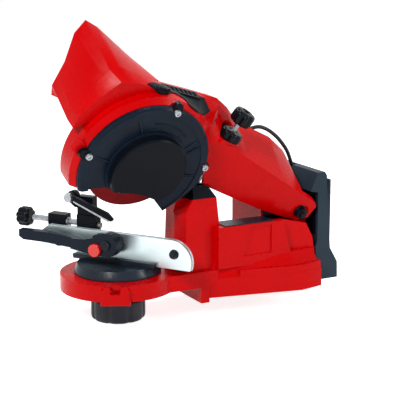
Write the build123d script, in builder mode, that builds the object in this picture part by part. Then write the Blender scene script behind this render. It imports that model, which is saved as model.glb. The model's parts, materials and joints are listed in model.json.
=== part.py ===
from build123d import *
import os
from math import cos, pi, radians, sin, sqrt, tan

# Cordless chain sharpener for saw chains, clamped on the edge of a bench. Millimetres, +Z up.
# The origin is the middle of the four bench bolts, on the bench plane. +X points to the battery
# holder, -X to the vice, and -Y to the side of the wheel guard.

os.makedirs("parts", exist_ok=True)

# ---------------------------------------------------------------- general sizes
FIT = 0.05            # radial clearance of a running fit
GAP = 0.3             # clearance between parts that only pass each other
WALL = 3.0            # moulded wall

# ---------------------------------------------------------------- frames of the sub-assemblies
SWIVEL_X = -145.0     # swivel axis of the vice
HEAD_Z = 73.0         # height on the swivel axis from which the head's plane is measured
HEAD_TILT = 25.0      # the wheel's plane leans this much out of the vertical
VICE_ANGLE = 35.0     # the vice rests at this end of its swivel


def tilted(offset=0.0):
    """Plane parallel to the grinding wheel: x along the arm, y up the wheel, z out to the guard."""
    tilt = radians(HEAD_TILT)
    out = (0, -cos(tilt), -sin(tilt))
    return Plane(origin=(SWIVEL_X, 0, HEAD_Z), x_dir=(1, 0, 0), z_dir=out).offset(offset)


def beside(offset=0.0):
    """Upright plane along the chain bar: x along the bar, y up, z out to the lever."""
    turn = radians(VICE_ANGLE)
    return Plane(origin=(SWIVEL_X, 0, 0), x_dir=(sin(turn), -cos(turn), 0),
                 z_dir=(-cos(turn), -sin(turn), 0)).offset(offset)


def over(height=0.0):
    """Level plane on the swivel axis: x along the chain bar, y away from the lever."""
    turn = radians(VICE_ANGLE)
    return Plane(origin=(SWIVEL_X, 0, height), x_dir=(sin(turn), -cos(turn), 0), z_dir=(0, 0, 1))


def across(distance=0.0):
    """Upright plane square to the bar, at a distance along it: x away from the lever, y up, z on."""
    turn = radians(VICE_ANGLE)
    along = (sin(turn), -cos(turn), 0)
    origin = (SWIVEL_X + distance * along[0], distance * along[1], 0)
    return Plane(origin=origin, x_dir=(cos(turn), sin(turn), 0), z_dir=along)


def save(piece, name):
    """Label a finished piece and write it as one STEP file."""
    piece.part.label = name
    export_step(piece.part, f"parts/{name}.step")


# ================================================================ driving sizes
# base
HINGE_A, HINGE_B = 189.0, 16.5    # hinge of the head, in the tilted frame
HINGE_X = SWIVEL_X + HINGE_A
BENCH_BOLT_X = 68.0       # spacing of the bench bolts
BENCH_BOLT_Y = 80.0
BENCH_BOLT_R = 4.25       # clearance for M8
BENCH_BOLT_DEPTH = 20.0
BOSS_R = 8.0
DISC_R = 57.0             # round front end under the vice
DISC_BOTTOM_Z = 12.0
DISC_TOP_Z = 28.0
NECK_HALF = 45.0
EDGE_X = -66.0            # face that meets the front edge of the bench
LIP_DEPTH = 9.0
LIP_DROP = 4.0
FOOT_FRONT_HALF = 44.0    # half width of the foot at the bench edge
FOOT_REAR_HALF = 63.5
FOOT_REAR_X = HINGE_X - 13.0
FOOT_END_X = HINGE_X + 14.0
FOOT_END_HALF = 57.5
FOOT_TOP_Z = 19.0
STEP_X = -34.0            # where the foot steps up to its rear part
STEP_TOP_Z = 26.0
DECK_Z = 37.0             # low deck behind the spine
DECK_HALF = 47.0
BODY_END_X = HINGE_X + 18.0
SPINE_TOP_Z = 71.0        # spine between the depth stop post and the tower
SPINE_NEAR_Y = -47.0
SPINE_FAR_Y = -23.0
CHEEK_X = HINGE_X - 26.0            # near cheek of the tower under the hinge
CHEEK_Y = -40.0
PANEL_X0, PANEL_X1 = -28.0, CHEEK_X - 14.0
PANEL_DEPTH = 1.5
TOWER_X = HINGE_X - 39.0
TOWER_FAR_Y = 36.0
TOWER_TOP_Z = 92.0
POST_X0, POST_X1 = -93.0, -54.0
POST_Y0, POST_Y1 = -37.0, -4.0
POST_CUT = 8.0            # cut-away corner
POST_TOP_Z = 100.0
CAP_TOP_Z = 112.0
TAB_ANGLE = -116.6        # index tab on the rim of the round end
TAB_WIDTH = 27.5
NOTCH_WIDTH = 8.5

# hinge of the head, in the tilted frame
PIN_R = 5.0
BUSH_R = 7.0
LEG_R = 18.0              # sweep of the arm's near leg about the pin
EAR_R = 12.0              # near ear of the bracket
FAR_EAR_R = 10.0
EAR_T = 8.0
NEAR_EAR_C = 17.5         # inner faces of the bracket's ears
FAR_EAR_C = -20.0
ARM_ROOT_A = 80.0         # the arm's near face leaves the guard here
ARM_ROOT_C = 10.0
ARM_DRAWN = 109.0         # length from the root to the hinge at which the outlines are drawn
ARM_FLARE = 0.2           # and widens by this much along the arm
SKIN = 3.4                # wall of the arm along its near face
ARM_PARTING = -14.0       # parting plane of the two arm shells
ARM_FAR_C = -38.0
HEAD_DROP = 8.0           # degrees from rest down to the chain
HEAD_RISE = 27.0

# wheel and motor, in the tilted frame
WHEEL_A, WHEEL_B = 6.6, 81.3
WHEEL_R = 54.0
WHEEL_T = 3.2
WHEEL_BORE_R = 11.5
SHAFT_R = 4.0
FLANGE_R = 17.0
HOUSING_R = 72.5
HOUSING_LIP_R = 67.0
HOUSING_BACK = -14.0
HOUSING_FRONT = 13.0
HOUSING_BEVEL = 8.0
POCKET_R = 62.0
BACK_WALL = 5.0
MOTOR_R = 21.0
MOTOR_FRONT = -16.0
MOTOR_REAR = -58.0
BARREL_R = 30.0
BARREL_REAR = -66.0

# depth stop, in the tilted frame
STOP_C = 4.0              # plane of the depth screw
STOP_TIP_A, STOP_TIP_B = 74.6, 45.2
STOP_HEAD_A, STOP_HEAD_B = 110.2, 120.8
STOP_R = 2.5

# vice, along the chain bar
BAR_GAP = 1.6             # slot for the drive links of the chain
BAR_T = 2.5
BAR_BOTTOM_Z = 38.0
BAR_TOP_Z = 67.0
BAR_LEFT = -86.0
BAR_RIGHT = 82.0
TABLE_R = 43.0
TABLE_TOP_Z = 37.5
TRAY_TOP_Z = 42.0
STUD_R = 5.0
KNOB_R = 27.0
KNOB_BOTTOM_Z = -20.0

# battery holder
HOLDER_SCREW_Y = 24.0
HOLDER_SCREW_Z = 12.0
HOLDER_SCREW_R = 2.0
HOLDER_HALF = 39.0
HOLDER_FRONT_X = BODY_END_X + 2.0
HOLDER_TOP_Z = 114.0


# lead from the arm to the battery holder, as points of the part
LEAD_POINTS = [(-4, -6.5, 158.3), (7, -8.5, 162.3), (21, -4.5, 158.3), (36, 1, 149), (49, 6.5, 137.5),
               (59.5, 11.5, 125), (66, 14.5, 109)]


def tilted_point(a, b, c):
    """Point given in the tilted frame, as a point of the part."""
    return tilted(c).from_local_coords(Vector(a, b, 0))


def tilted_axis(a0, b0, a1, b1, c):
    """Plane at (a0, b0) whose z runs towards (a1, b1), both in the tilted plane c."""
    start, end = tilted_point(a0, b0, c), tilted_point(a1, b1, c)
    return Plane(origin=start, x_dir=tilted().z_dir, z_dir=(end - start).normalized())


def arm_near(a):
    """Distance of the arm's near face in front of the wheel's plane."""
    return ARM_ROOT_C + ARM_FLARE * (a - ARM_ROOT_A)


def outline(points, centre=(0, 0)):
    """Closed face through points, shifted to a centre, added to the running sketch."""
    Polygon(*[(x + centre[0], y + centre[1]) for x, y in points], align=None)


def along_arm(points):
    """Points drawn for the arm's drawn length, moved with its real one."""
    share = (HINGE_A - ARM_ROOT_A) / ARM_DRAWN
    return [(ARM_ROOT_A + (p[0] - ARM_ROOT_A) * share if p[0] > ARM_ROOT_A else p[0], *p[1:]) for p in points]


def near_plane(depth=0.0):
    """Plane of the arm's near face, x along the arm from its root and y up, moved inwards."""
    slope = sqrt(1 + ARM_FLARE ** 2)
    root = tilted_point(ARM_ROOT_A, 0, ARM_ROOT_C)
    along = (tilted_point(ARM_ROOT_A + 1, 0, ARM_ROOT_C + ARM_FLARE) - root) / slope
    up = tilted_point(0, 1, 0) - tilted_point(0, 0, 0)
    return Plane(origin=root, x_dir=along, z_dir=along.cross(up)).offset(-depth)


def on_near(points, depth=0.0):
    """Points of the tilted frame carried straight onto the arm's near face."""
    slope = sqrt(1 + ARM_FLARE ** 2)
    shift = depth * ARM_FLARE / slope
    return [((a - ARM_ROOT_A) * slope + shift, b) for a, b in points]


WHEEL_AT = (WHEEL_A, WHEEL_B)
WALL_SLOT = [(72, 29), (99, 17), (99, 80), (72, 80)]
GUARD_WAY = [(33, 1), (51, 19.8), (66, 42.2), (67.5, 56), (60, 95), (33, 95)]
GUARD_WAY_C = HOUSING_FRONT - 0.6

# ================================================================ base body
FOOT = [(EDGE_X, -FOOT_FRONT_HALF), (FOOT_REAR_X, -FOOT_REAR_HALF), (FOOT_END_X, -FOOT_END_HALF),
        (BODY_END_X, -DECK_HALF + 6), (BODY_END_X, DECK_HALF - 6), (FOOT_END_X, FOOT_END_HALF),
        (FOOT_REAR_X, FOOT_REAR_HALF), (EDGE_X, FOOT_FRONT_HALF)]
POST_HOLLOW = [(POST_X0 + WALL, POST_Y1 - WALL), (POST_X0 + WALL, POST_Y0 + 19), (POST_X0 + 11, POST_Y0 + 19),
               (POST_X0 + 11, POST_Y0 + WALL), (POST_X1 - WALL, POST_Y0 + WALL),
               (POST_X1 - WALL, POST_Y1 - WALL)]
REAR_FOOT = [(STEP_X, -FOOT_FRONT_HALF - 6), (FOOT_REAR_X, -FOOT_REAR_HALF + 1),
             (FOOT_END_X - 1, -FOOT_END_HALF + 1), (BODY_END_X - 1, -DECK_HALF + 7),
             (BODY_END_X - 1, DECK_HALF - 7), (FOOT_END_X - 1, FOOT_END_HALF - 1),
             (FOOT_REAR_X, FOOT_REAR_HALF - 1), (STEP_X, FOOT_FRONT_HALF + 6)]
DECK = [(POST_X1 - 4, -FOOT_FRONT_HALF + 4), (FOOT_REAR_X - 8, -DECK_HALF),
        (FOOT_END_X - 4, -DECK_HALF + 3), (BODY_END_X - 2, -DECK_HALF + 8),
        (BODY_END_X - 2, DECK_HALF - 8), (FOOT_END_X - 4, DECK_HALF - 3),
        (FOOT_REAR_X - 8, DECK_HALF), (POST_X1 - 4, FOOT_FRONT_HALF - 4)]
tab_dir = (cos(radians(TAB_ANGLE)), sin(radians(TAB_ANGLE)), 0)
SEAT_FAR_C = ARM_FAR_C - 4
SEAT_A = TOWER_X - SWIVEL_X + 4

with BuildPart() as base_body:
    with BuildSketch(Plane.XY.offset(DISC_BOTTOM_Z)):
        with Locations((SWIVEL_X, 0)):
            Circle(DISC_R)
        outline([(SWIVEL_X, -NECK_HALF), (EDGE_X + 10, -NECK_HALF), (EDGE_X + 10, NECK_HALF),
                 (SWIVEL_X, NECK_HALF)])
    extrude(amount=DISC_TOP_Z - DISC_BOTTOM_Z)
    # index tab on the rim
    with BuildSketch(Plane(origin=(SWIVEL_X, 0, DISC_BOTTOM_Z - 2), x_dir=tab_dir, z_dir=(0, 0, 1))):
        with Locations((DISC_R - 5, 0)):
            Rectangle(14, TAB_WIDTH)
    extrude(amount=15)
    # foot on the bench, flaring to the rear
    with BuildSketch(Plane.XY):
        outline(FOOT)
    extrude(amount=FOOT_TOP_Z, taper=2)
    with BuildSketch(Plane.XY.offset(FOOT_TOP_Z)):
        outline(REAR_FOOT)
    extrude(amount=STEP_TOP_Z - FOOT_TOP_Z)
    with BuildSketch(Plane.XY.offset(FOOT_TOP_Z)):
        outline([(x * 0.985, y * 0.98) for x, y in FOOT])
    with BuildSketch(Plane.XY.offset(DECK_Z)):
        outline(DECK)
    loft(ruled=True)
    # lip that drops in front of the bench
    with BuildSketch(Plane.XY.offset(-LIP_DROP)):
        with Locations((EDGE_X - LIP_DEPTH / 2, 0)):
            Rectangle(LIP_DEPTH, 2 * NECK_HALF)
    extrude(amount=DISC_BOTTOM_Z + LIP_DROP)
    # spine, with a shallow panel in its near side
    with BuildSketch(Plane.XZ.offset(-SPINE_FAR_Y)):
        outline([(POST_X1 - 3, DECK_Z - 8), (CHEEK_X + 12, DECK_Z - 8), (CHEEK_X + 5, 48),
                 (CHEEK_X, SPINE_TOP_Z),
                 (POST_X1 - 3, SPINE_TOP_Z)])
    extrude(amount=SPINE_FAR_Y - SPINE_NEAR_Y)
    with BuildSketch(Plane.XZ.offset(-SPINE_NEAR_Y - PANEL_DEPTH)):
        outline([(PANEL_X0, DECK_Z + 2), (PANEL_X1, DECK_Z + 2), (PANEL_X1, SPINE_TOP_Z - 3),
                 (PANEL_X0 + 8, SPINE_TOP_Z - 3)])
    extrude(amount=PANEL_DEPTH + 1, mode=Mode.SUBTRACT)
    # depth stop post, wider at its foot, with its near left corner cut away
    with BuildSketch(Plane.XY.offset(DISC_TOP_Z - 4)):
        outline([(POST_X0 - 3, POST_Y1), (POST_X0 - 3, POST_Y0 + POST_CUT + 5), (POST_X0 + 4, POST_Y0 - 2),
                 (POST_X1 + 8, POST_Y0 - 2), (POST_X1 + 8, POST_Y1)])
    with BuildSketch(Plane.XY.offset(POST_TOP_Z)):
        outline([(POST_X0, POST_Y1), (POST_X0, POST_Y0 + POST_CUT + 3), (POST_X0 + 5.5, POST_Y0),
                 (POST_X1, POST_Y0), (POST_X1, POST_Y1)])
    loft(ruled=True)
    # tower and its near cheek
    with BuildSketch(Plane.XZ.offset(-TOWER_FAR_Y)):
        outline([(TOWER_X, DECK_Z - 8), (TOWER_X, TOWER_TOP_Z), (BODY_END_X - 4, TOWER_TOP_Z),
                 (BODY_END_X - 2, DECK_Z - 8)])
    extrude(amount=TOWER_FAR_Y - SPINE_FAR_Y)
    with BuildSketch(Plane.XZ.offset(-SPINE_FAR_Y)):
        outline([(CHEEK_X, DECK_Z - 8), (CHEEK_X, SPINE_TOP_Z), (CHEEK_X + 31, SPINE_TOP_Z - 8),
                 (BODY_END_X - 5, DECK_Z + 11), (BODY_END_X - 2, DECK_Z - 8)])
    extrude(amount=SPINE_FAR_Y - CHEEK_Y)
    # sloping seat of the hinge bracket, and the slot of the arm's near leg beside it
    with BuildSketch(tilted(SEAT_FAR_C)):
        with Locations((SEAT_A - 2, 0)):
            Rectangle(90, 90, align=(Align.MIN, Align.MIN))
    extrude(amount=NEAR_EAR_C + EAR_T - GAP - SEAT_FAR_C, mode=Mode.SUBTRACT)
    with BuildSketch(tilted(NEAR_EAR_C + EAR_T - GAP)):
        with Locations((SEAT_A - 2, HINGE_B - LEG_R - 3)):
            Rectangle(90, 90, align=(Align.MIN, Align.MIN))
    extrude(amount=arm_near(HINGE_A + LEG_R) - NEAR_EAR_C - EAR_T + 2, mode=Mode.SUBTRACT)
    # hollow underside
    with BuildSketch(Plane.XY):
        outline([(EDGE_X + 5, -FOOT_FRONT_HALF + 4), (FOOT_REAR_X, -FOOT_REAR_HALF + 6),
                 (FOOT_END_X - 4, -FOOT_END_HALF + 7), (FOOT_END_X - 4, FOOT_END_HALF - 7),
                 (FOOT_REAR_X, FOOT_REAR_HALF - 6), (EDGE_X + 5, FOOT_FRONT_HALF - 4)])
    extrude(amount=FOOT_TOP_Z - WALL, mode=Mode.SUBTRACT)
    with BuildSketch(Plane.XY.offset(FOOT_TOP_Z - WALL)):
        with Locations(((EDGE_X + FOOT_END_X) / 2 + 4, 0)):
            Rectangle(FOOT_END_X - EDGE_X - 16, 2 * (DECK_HALF - 10))
    extrude(amount=DECK_Z - FOOT_TOP_Z, mode=Mode.SUBTRACT)
    with BuildSketch(Plane.XY.offset(DECK_Z - WALL)):
        with Locations(((POST_X1 + CHEEK_X) / 2 + 2, (SPINE_NEAR_Y + SPINE_FAR_Y) / 2 + 1)):
            Rectangle(CHEEK_X - POST_X1 - 10, SPINE_FAR_Y - SPINE_NEAR_Y - 8)
    extrude(amount=SPINE_TOP_Z - DECK_Z - 1, mode=Mode.SUBTRACT)
    with BuildSketch(Plane.XY.offset(DISC_TOP_Z)):
        outline(POST_HOLLOW)
    extrude(amount=POST_TOP_Z - DISC_TOP_Z, mode=Mode.SUBTRACT)
    # bosses of the bench bolts
    with BuildSketch(Plane.XY):
        with GridLocations(BENCH_BOLT_X, BENCH_BOLT_Y, 2, 2):
            Circle(BOSS_R)
    extrude(amount=BENCH_BOLT_DEPTH + 1)
    with BuildSketch(Plane.XY):
        with GridLocations(BENCH_BOLT_X, BENCH_BOLT_Y, 2, 2):
            Circle(BENCH_BOLT_R)
    extrude(amount=BENCH_BOLT_DEPTH, mode=Mode.SUBTRACT)
    # bore of the vice stud, and the hollow round it
    with BuildSketch(Plane.XY.offset(DISC_BOTTOM_Z)):
        with Locations((SWIVEL_X, 0)):
            Circle(STUD_R + 0.25)
    extrude(amount=DISC_TOP_Z - DISC_BOTTOM_Z, mode=Mode.SUBTRACT)
    with BuildSketch(Plane.XY.offset(DISC_BOTTOM_Z)):
        with Locations((SWIVEL_X, 0)):
            Circle(DISC_R - 4)
            Circle(KNOB_R + 3, mode=Mode.SUBTRACT)
        with Locations((SWIVEL_X + DISC_R + 8, 0)):
            Rectangle(2 * (DISC_R - 6), 2 * DISC_R, mode=Mode.SUBTRACT)
    extrude(amount=DISC_TOP_Z - DISC_BOTTOM_Z - 5, mode=Mode.SUBTRACT)
    # holes of the holder's screws
    with BuildSketch(Plane.YZ.offset(BODY_END_X - 14)):
        with Locations((-HOLDER_SCREW_Y, HOLDER_SCREW_Z), (HOLDER_SCREW_Y, HOLDER_SCREW_Z)):
            Circle(HOLDER_SCREW_R + FIT)
    extrude(amount=20, mode=Mode.SUBTRACT)
    # slot that the arm's near wall dips into, and the corner that the guard sweeps
    with BuildSketch(near_plane(SKIN + 2.2)):
        outline(on_near(WALL_SLOT))
    extrude(amount=SKIN + 4.2, mode=Mode.SUBTRACT)
    with BuildSketch(tilted(GUARD_WAY_C)):
        outline(GUARD_WAY)
    extrude(amount=40, mode=Mode.SUBTRACT)
    # index notch in the tab
    with BuildSketch(Plane(origin=(SWIVEL_X, 0, DISC_TOP_Z - 7.5), x_dir=tab_dir, z_dir=(0, 0, 1))):
        with Locations((DISC_R, 0)):
            Rectangle(9, NOTCH_WIDTH)
    extrude(amount=10, mode=Mode.SUBTRACT)
save(base_body, "base_body")

with BuildPart() as deck_strip:
    with BuildSketch(Plane.XY.offset(SPINE_TOP_Z)):
        with Locations(((POST_X1 + CHEEK_X) / 2 - 3, (SPINE_NEAR_Y + SPINE_FAR_Y) / 2)):
            Rectangle(CHEEK_X - POST_X1 - 16, SPINE_FAR_Y - SPINE_NEAR_Y - 2)
    extrude(amount=1.0)
save(deck_strip, "deck_strip")

# ================================================================ depth stop cap
drop = radians(HEAD_DROP)
tip_a, tip_b = STOP_TIP_A - HINGE_A, STOP_TIP_B - HINGE_B
LOW_A = HINGE_A + tip_a * cos(drop) - tip_b * sin(drop)
LOW_B = HINGE_B + tip_a * sin(drop) + tip_b * cos(drop)
pocket = tilted_axis(LOW_A, LOW_B, STOP_TIP_A, STOP_TIP_B, STOP_C)
POCKET_DEPTH = sqrt((LOW_A - STOP_TIP_A) ** 2 + (LOW_B - STOP_TIP_B) ** 2)
stop_at = tilted_point(STOP_TIP_A, STOP_TIP_B, STOP_C)

with BuildPart() as stop_post_cap:
    with BuildSketch(Plane.XY.offset(POST_TOP_Z)):
        with Locations(((POST_X0 + POST_X1) / 2, (POST_Y0 + POST_Y1) / 2)):
            Rectangle(POST_X1 - POST_X0, POST_Y1 - POST_Y0)
    with BuildSketch(Plane.XY.offset(CAP_TOP_Z)):
        with Locations((stop_at.X - 1, stop_at.Y)):
            Rectangle(20, 18)
    loft(ruled=True)
    with BuildSketch(Plane.XY.offset(POST_TOP_Z - 5)):
        outline(POST_HOLLOW)
        offset(amount=-GAP, mode=Mode.REPLACE)
    extrude(amount=5)
    with BuildSketch(pocket.offset(-3)):
        Circle(STOP_R + 4.9)
    extrude(amount=POCKET_DEPTH - 2)
    with BuildSketch(pocket.offset(-0.5)):
        Circle(STOP_R + 3.5)
    extrude(amount=POCKET_DEPTH + 20, mode=Mode.SUBTRACT)
    with BuildSketch(near_plane(SKIN + 2.2)):
        outline(on_near(WALL_SLOT))
    extrude(amount=SKIN + 4.2, mode=Mode.SUBTRACT)
    with BuildSketch(tilted(GUARD_WAY_C)):
        outline(GUARD_WAY)
    extrude(amount=40, mode=Mode.SUBTRACT)
save(stop_post_cap, "stop_post_cap")

# ================================================================ hinge
with BuildPart() as hinge_bracket:
    with BuildSketch(tilted(FAR_EAR_C - EAR_T)):
        outline([(SEAT_A, 0), (SEAT_A, 15), (SEAT_A + 14, 22), (HINGE_A, HINGE_B + FAR_EAR_R),
                 (HINGE_A + FAR_EAR_R, HINGE_B), (HINGE_A + FAR_EAR_R, 0)])
        with Locations((HINGE_A, HINGE_B)):
            Circle(FAR_EAR_R)
    extrude(amount=EAR_T)
    with BuildSketch(tilted(NEAR_EAR_C)):
        with Locations((HINGE_A, HINGE_B)):
            Circle(EAR_R)
        with Locations((HINGE_A, HINGE_B / 2)):
            Rectangle(2 * EAR_R, HINGE_B)
    extrude(amount=EAR_T)
    with BuildSketch(tilted(FAR_EAR_C)):
        outline([(SEAT_A, 0), (SEAT_A, 5), (HINGE_A + FAR_EAR_R, 5), (HINGE_A + FAR_EAR_R, 0)])
    extrude(amount=NEAR_EAR_C - FAR_EAR_C)
    with BuildSketch(tilted(FAR_EAR_C - EAR_T)):
        with Locations((HINGE_A, HINGE_B)):
            Circle(PIN_R + FIT)
    extrude(amount=NEAR_EAR_C - FAR_EAR_C + 2 * EAR_T, mode=Mode.SUBTRACT)
save(hinge_bracket, "hinge_bracket")

PIN_NEAR = arm_near(HINGE_A)
with BuildPart() as hinge_pin:
    with BuildSketch(tilted(ARM_FAR_C)):
        with Locations((HINGE_A, HINGE_B)):
            Circle(PIN_R)
    extrude(amount=PIN_NEAR - ARM_FAR_C)
save(hinge_pin, "hinge_pin")

with BuildPart() as hinge_cap:
    with BuildSketch(tilted(PIN_NEAR)):
        with Locations((HINGE_A, HINGE_B)):
            Circle(PIN_R + 1)
    extrude(amount=5)
    with BuildSketch(tilted(PIN_NEAR + 5)):
        with Locations((HINGE_A, HINGE_B)):
            Circle(PIN_R - 1.5)
    extrude(amount=3)
save(hinge_cap, "hinge_cap")

with BuildPart() as hinge_bushes:
    with BuildSketch(tilted(NEAR_EAR_C + EAR_T + GAP)):
        with Locations((HINGE_A, HINGE_B)):
            Circle(BUSH_R)
            Circle(PIN_R + FIT, mode=Mode.SUBTRACT)
    extrude(amount=PIN_NEAR - NEAR_EAR_C - EAR_T - 1.2)
    with BuildSketch(tilted(ARM_FAR_C + 0.5)):
        with Locations((HINGE_A, HINGE_B)):
            Circle(BUSH_R)
            Circle(PIN_R + FIT, mode=Mode.SUBTRACT)
    extrude(amount=FAR_EAR_C - EAR_T - ARM_FAR_C - 0.5 - GAP)
save(hinge_bushes, "hinge_bushes")

SPRING_COILS = 8
SPRING_PITCH = 4.0
with BuildPart() as return_spring:
    with BuildSketch(tilted(FAR_EAR_C + 3)):
        with Locations((HINGE_A, HINGE_B)):
            Circle(PIN_R + 2)
            Circle(PIN_R + 0.6, mode=Mode.SUBTRACT)
    extrude(amount=SPRING_COILS * SPRING_PITCH)
    for coil in range(SPRING_COILS):
        with BuildSketch(tilted(FAR_EAR_C + 3 + coil * SPRING_PITCH)):
            with Locations((HINGE_A, HINGE_B)):
                Circle(PIN_R + 4.4)
                Circle(PIN_R + 0.6, mode=Mode.SUBTRACT)
        extrude(amount=2.6)
save(return_spring, "return_spring")
# ================================================================ battery holder
HOLDER_PROFILE = [(BODY_END_X, 0), (BODY_END_X, DECK_Z), (HOLDER_FRONT_X, DECK_Z + 4), (HOLDER_FRONT_X, 93),
                  (HOLDER_FRONT_X - 9, 95), (HOLDER_FRONT_X - 1, HOLDER_TOP_Z),
                  (HOLDER_FRONT_X + 8, HOLDER_TOP_Z),
                  (HOLDER_FRONT_X + 10.4, HOLDER_TOP_Z - 4), (HOLDER_FRONT_X + 15.8, 33),
                  (HOLDER_FRONT_X + 25, 17), (HOLDER_FRONT_X + 25.5, 0)]
POCKET_FRONT_X = HOLDER_FRONT_X + 2.5
POCKET_REAR_X = HOLDER_FRONT_X + 9.0
RAIL_Y = 26.0
TERMINAL_HALF = 16.0
TERMINAL_Z0, TERMINAL_Z1 = 68.0, 94.0

with BuildPart() as battery_holder:
    with BuildSketch(Plane.XZ.offset(-HOLDER_HALF)):
        outline(HOLDER_PROFILE)
    extrude(amount=2 * HOLDER_HALF)
    # rails that the battery slides down on
    for side in (-1, 1):
        with BuildSketch(Plane.XY.offset(30)):
            with Locations((POCKET_REAR_X + 5, side * RAIL_Y)):
                Rectangle(10, 5)
            with Locations((POCKET_REAR_X + 9, side * (RAIL_Y + 2))):
                Rectangle(3, 9)
        extrude(amount=HOLDER_TOP_Z - 40)
    # inside, with the opening of the front panel
    with BuildSketch(Plane.XZ.offset(-HOLDER_HALF + WALL + 1)):
        outline([(POCKET_FRONT_X, 8), (POCKET_REAR_X, 8), (POCKET_REAR_X, 88), (POCKET_FRONT_X, 88)])
    extrude(amount=2 * (HOLDER_HALF - WALL - 1), mode=Mode.SUBTRACT)
    with BuildSketch(Plane.YZ.offset(HOLDER_FRONT_X)):
        with Locations((0, 68)):
            Rectangle(2 * (HOLDER_HALF - WALL - 1), 40)
    extrude(amount=POCKET_FRONT_X - HOLDER_FRONT_X, mode=Mode.SUBTRACT)
    with BuildSketch(Plane.YZ.offset(POCKET_REAR_X)):
        with Locations((0, (TERMINAL_Z0 + TERMINAL_Z1) / 2)):
            Rectangle(2 * TERMINAL_HALF, TERMINAL_Z1 - TERMINAL_Z0)
    extrude(amount=12, mode=Mode.SUBTRACT)
    with BuildSketch(Plane.YZ.offset(BODY_END_X)):
        with Locations((-HOLDER_SCREW_Y, HOLDER_SCREW_Z), (HOLDER_SCREW_Y, HOLDER_SCREW_Z)):
            Circle(HOLDER_SCREW_R + FIT)
    extrude(amount=30, mode=Mode.SUBTRACT)
    with BuildSketch(Plane.YZ.offset(POCKET_REAR_X + 3)):
        with Locations((-HOLDER_SCREW_Y, HOLDER_SCREW_Z), (HOLDER_SCREW_Y, HOLDER_SCREW_Z)):
            Circle(4.5)
    extrude(amount=20, mode=Mode.SUBTRACT)
    with BuildSketch(Plane.XY.offset(HOLDER_TOP_Z - 9)):
        with Locations((LEAD_POINTS[-1][0] - 1, LEAD_POINTS[-1][1] - 0.5)):
            Circle(4.5)
    extrude(amount=9, mode=Mode.SUBTRACT)
save(battery_holder, "battery_holder")

with BuildPart() as holder_screws:
    with BuildSketch(Plane.YZ.offset(BODY_END_X - 10)):
        with Locations((-HOLDER_SCREW_Y, HOLDER_SCREW_Z), (HOLDER_SCREW_Y, HOLDER_SCREW_Z)):
            Circle(HOLDER_SCREW_R)
    extrude(amount=POCKET_REAR_X + 3 - BODY_END_X + 10)
    with BuildSketch(Plane.YZ.offset(POCKET_REAR_X + 3)):
        with Locations((-HOLDER_SCREW_Y, HOLDER_SCREW_Z), (HOLDER_SCREW_Y, HOLDER_SCREW_Z)):
            Circle(4)
    extrude(amount=3)
save(holder_screws, "holder_screws")

with BuildPart() as holder_front:
    with BuildSketch(Plane.YZ.offset(HOLDER_FRONT_X)):
        with Locations((0, 68)):
            Rectangle(2 * (HOLDER_HALF - WALL - 1) - 2 * FIT, 40 - 2 * FIT)
    extrude(amount=POCKET_FRONT_X - HOLDER_FRONT_X)
    with BuildSketch(Plane.YZ.offset(HOLDER_FRONT_X - 1)):
        with Locations((0, 68)):
            with GridLocations(8, 1, 9, 1):
                Rectangle(3, 36)
    extrude(amount=1)
save(holder_front, "holder_front")

with BuildPart() as terminal_block:
    with BuildSketch(Plane.YZ.offset(POCKET_REAR_X - 3)):
        with Locations((0, TERMINAL_Z0 + 10)):
            Rectangle(2 * TERMINAL_HALF + 6, 16)
    extrude(amount=3)
    with BuildSketch(Plane.YZ.offset(POCKET_REAR_X)):
        with Locations((0, (TERMINAL_Z0 + TERMINAL_Z1) / 2)):
            Rectangle(2 * TERMINAL_HALF - 2 * FIT, TERMINAL_Z1 - TERMINAL_Z0 - 2 * FIT)
    extrude(amount=6)
    with BuildSketch(Plane.YZ.offset(POCKET_REAR_X + 2)):
        with Locations((0, (TERMINAL_Z0 + TERMINAL_Z1) / 2)):
            with GridLocations(9, 1, 3, 1):
                Rectangle(0.8 + 2 * FIT, 16)
    extrude(amount=4, mode=Mode.SUBTRACT)
save(terminal_block, "terminal_block")

with BuildPart() as terminal_blades:
    with BuildSketch(Plane.YZ.offset(POCKET_REAR_X + 2)):
        with Locations((0, (TERMINAL_Z0 + TERMINAL_Z1) / 2)):
            with GridLocations(9, 1, 3, 1):
                Rectangle(0.8, 16 - 2 * FIT)
    extrude(amount=11)
save(terminal_blades, "terminal_blades")

with BuildPart() as control_board:
    with BuildSketch(Plane.YZ.offset(POCKET_REAR_X - 1.6)):
        with Locations((0, 38)):
            Rectangle(56, 44)
    extrude(amount=1.6)
    with BuildSketch(Plane.YZ.offset(POCKET_REAR_X - 5.6)):
        with Locations((-16, 44)):
            Rectangle(12, 16)
        with Locations((14, 48)):
            Circle(4)
        with Locations((14, 30)):
            Rectangle(10, 8)
    extrude(amount=4)
save(control_board, "control_board")

# ================================================================ chain vice
TRAY_NEAR_Q, TRAY_FAR_Q = 9.0, -16.0
PLATE_FACE = BAR_GAP / 2 + BAR_T          # outer faces of the guide plates
BOLT_R = 3.0
BOLT_SPOTS = [(65, 53), (-66, 51)]
HUB_P, HUB_Z = 0.5, 58.5
LEVER_IN, LEVER_OUT = 11.5, 23.0
LEVER_PIN_R = 4.0
BUTTON_P, BUTTON_Z = -11.0, 53.0
BUTTON_R = 6.5
BUTTON_TRAVEL = 2.5
SCREW_Q, SCREW_Z = -9.0, 69.4
SCREW_R = 3.0
BLOCK_P0, BLOCK_P1 = -83.0, -63.0
SLIDE_P0, SLIDE_P1 = -49.0, -27.0
PAWL_P, PAWL_Z = -53.4, 97.1
PAWL_TIP_P, PAWL_TIP_Z = -3.4, 79.0
PAWL_SCREW_R = 2.5

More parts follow.
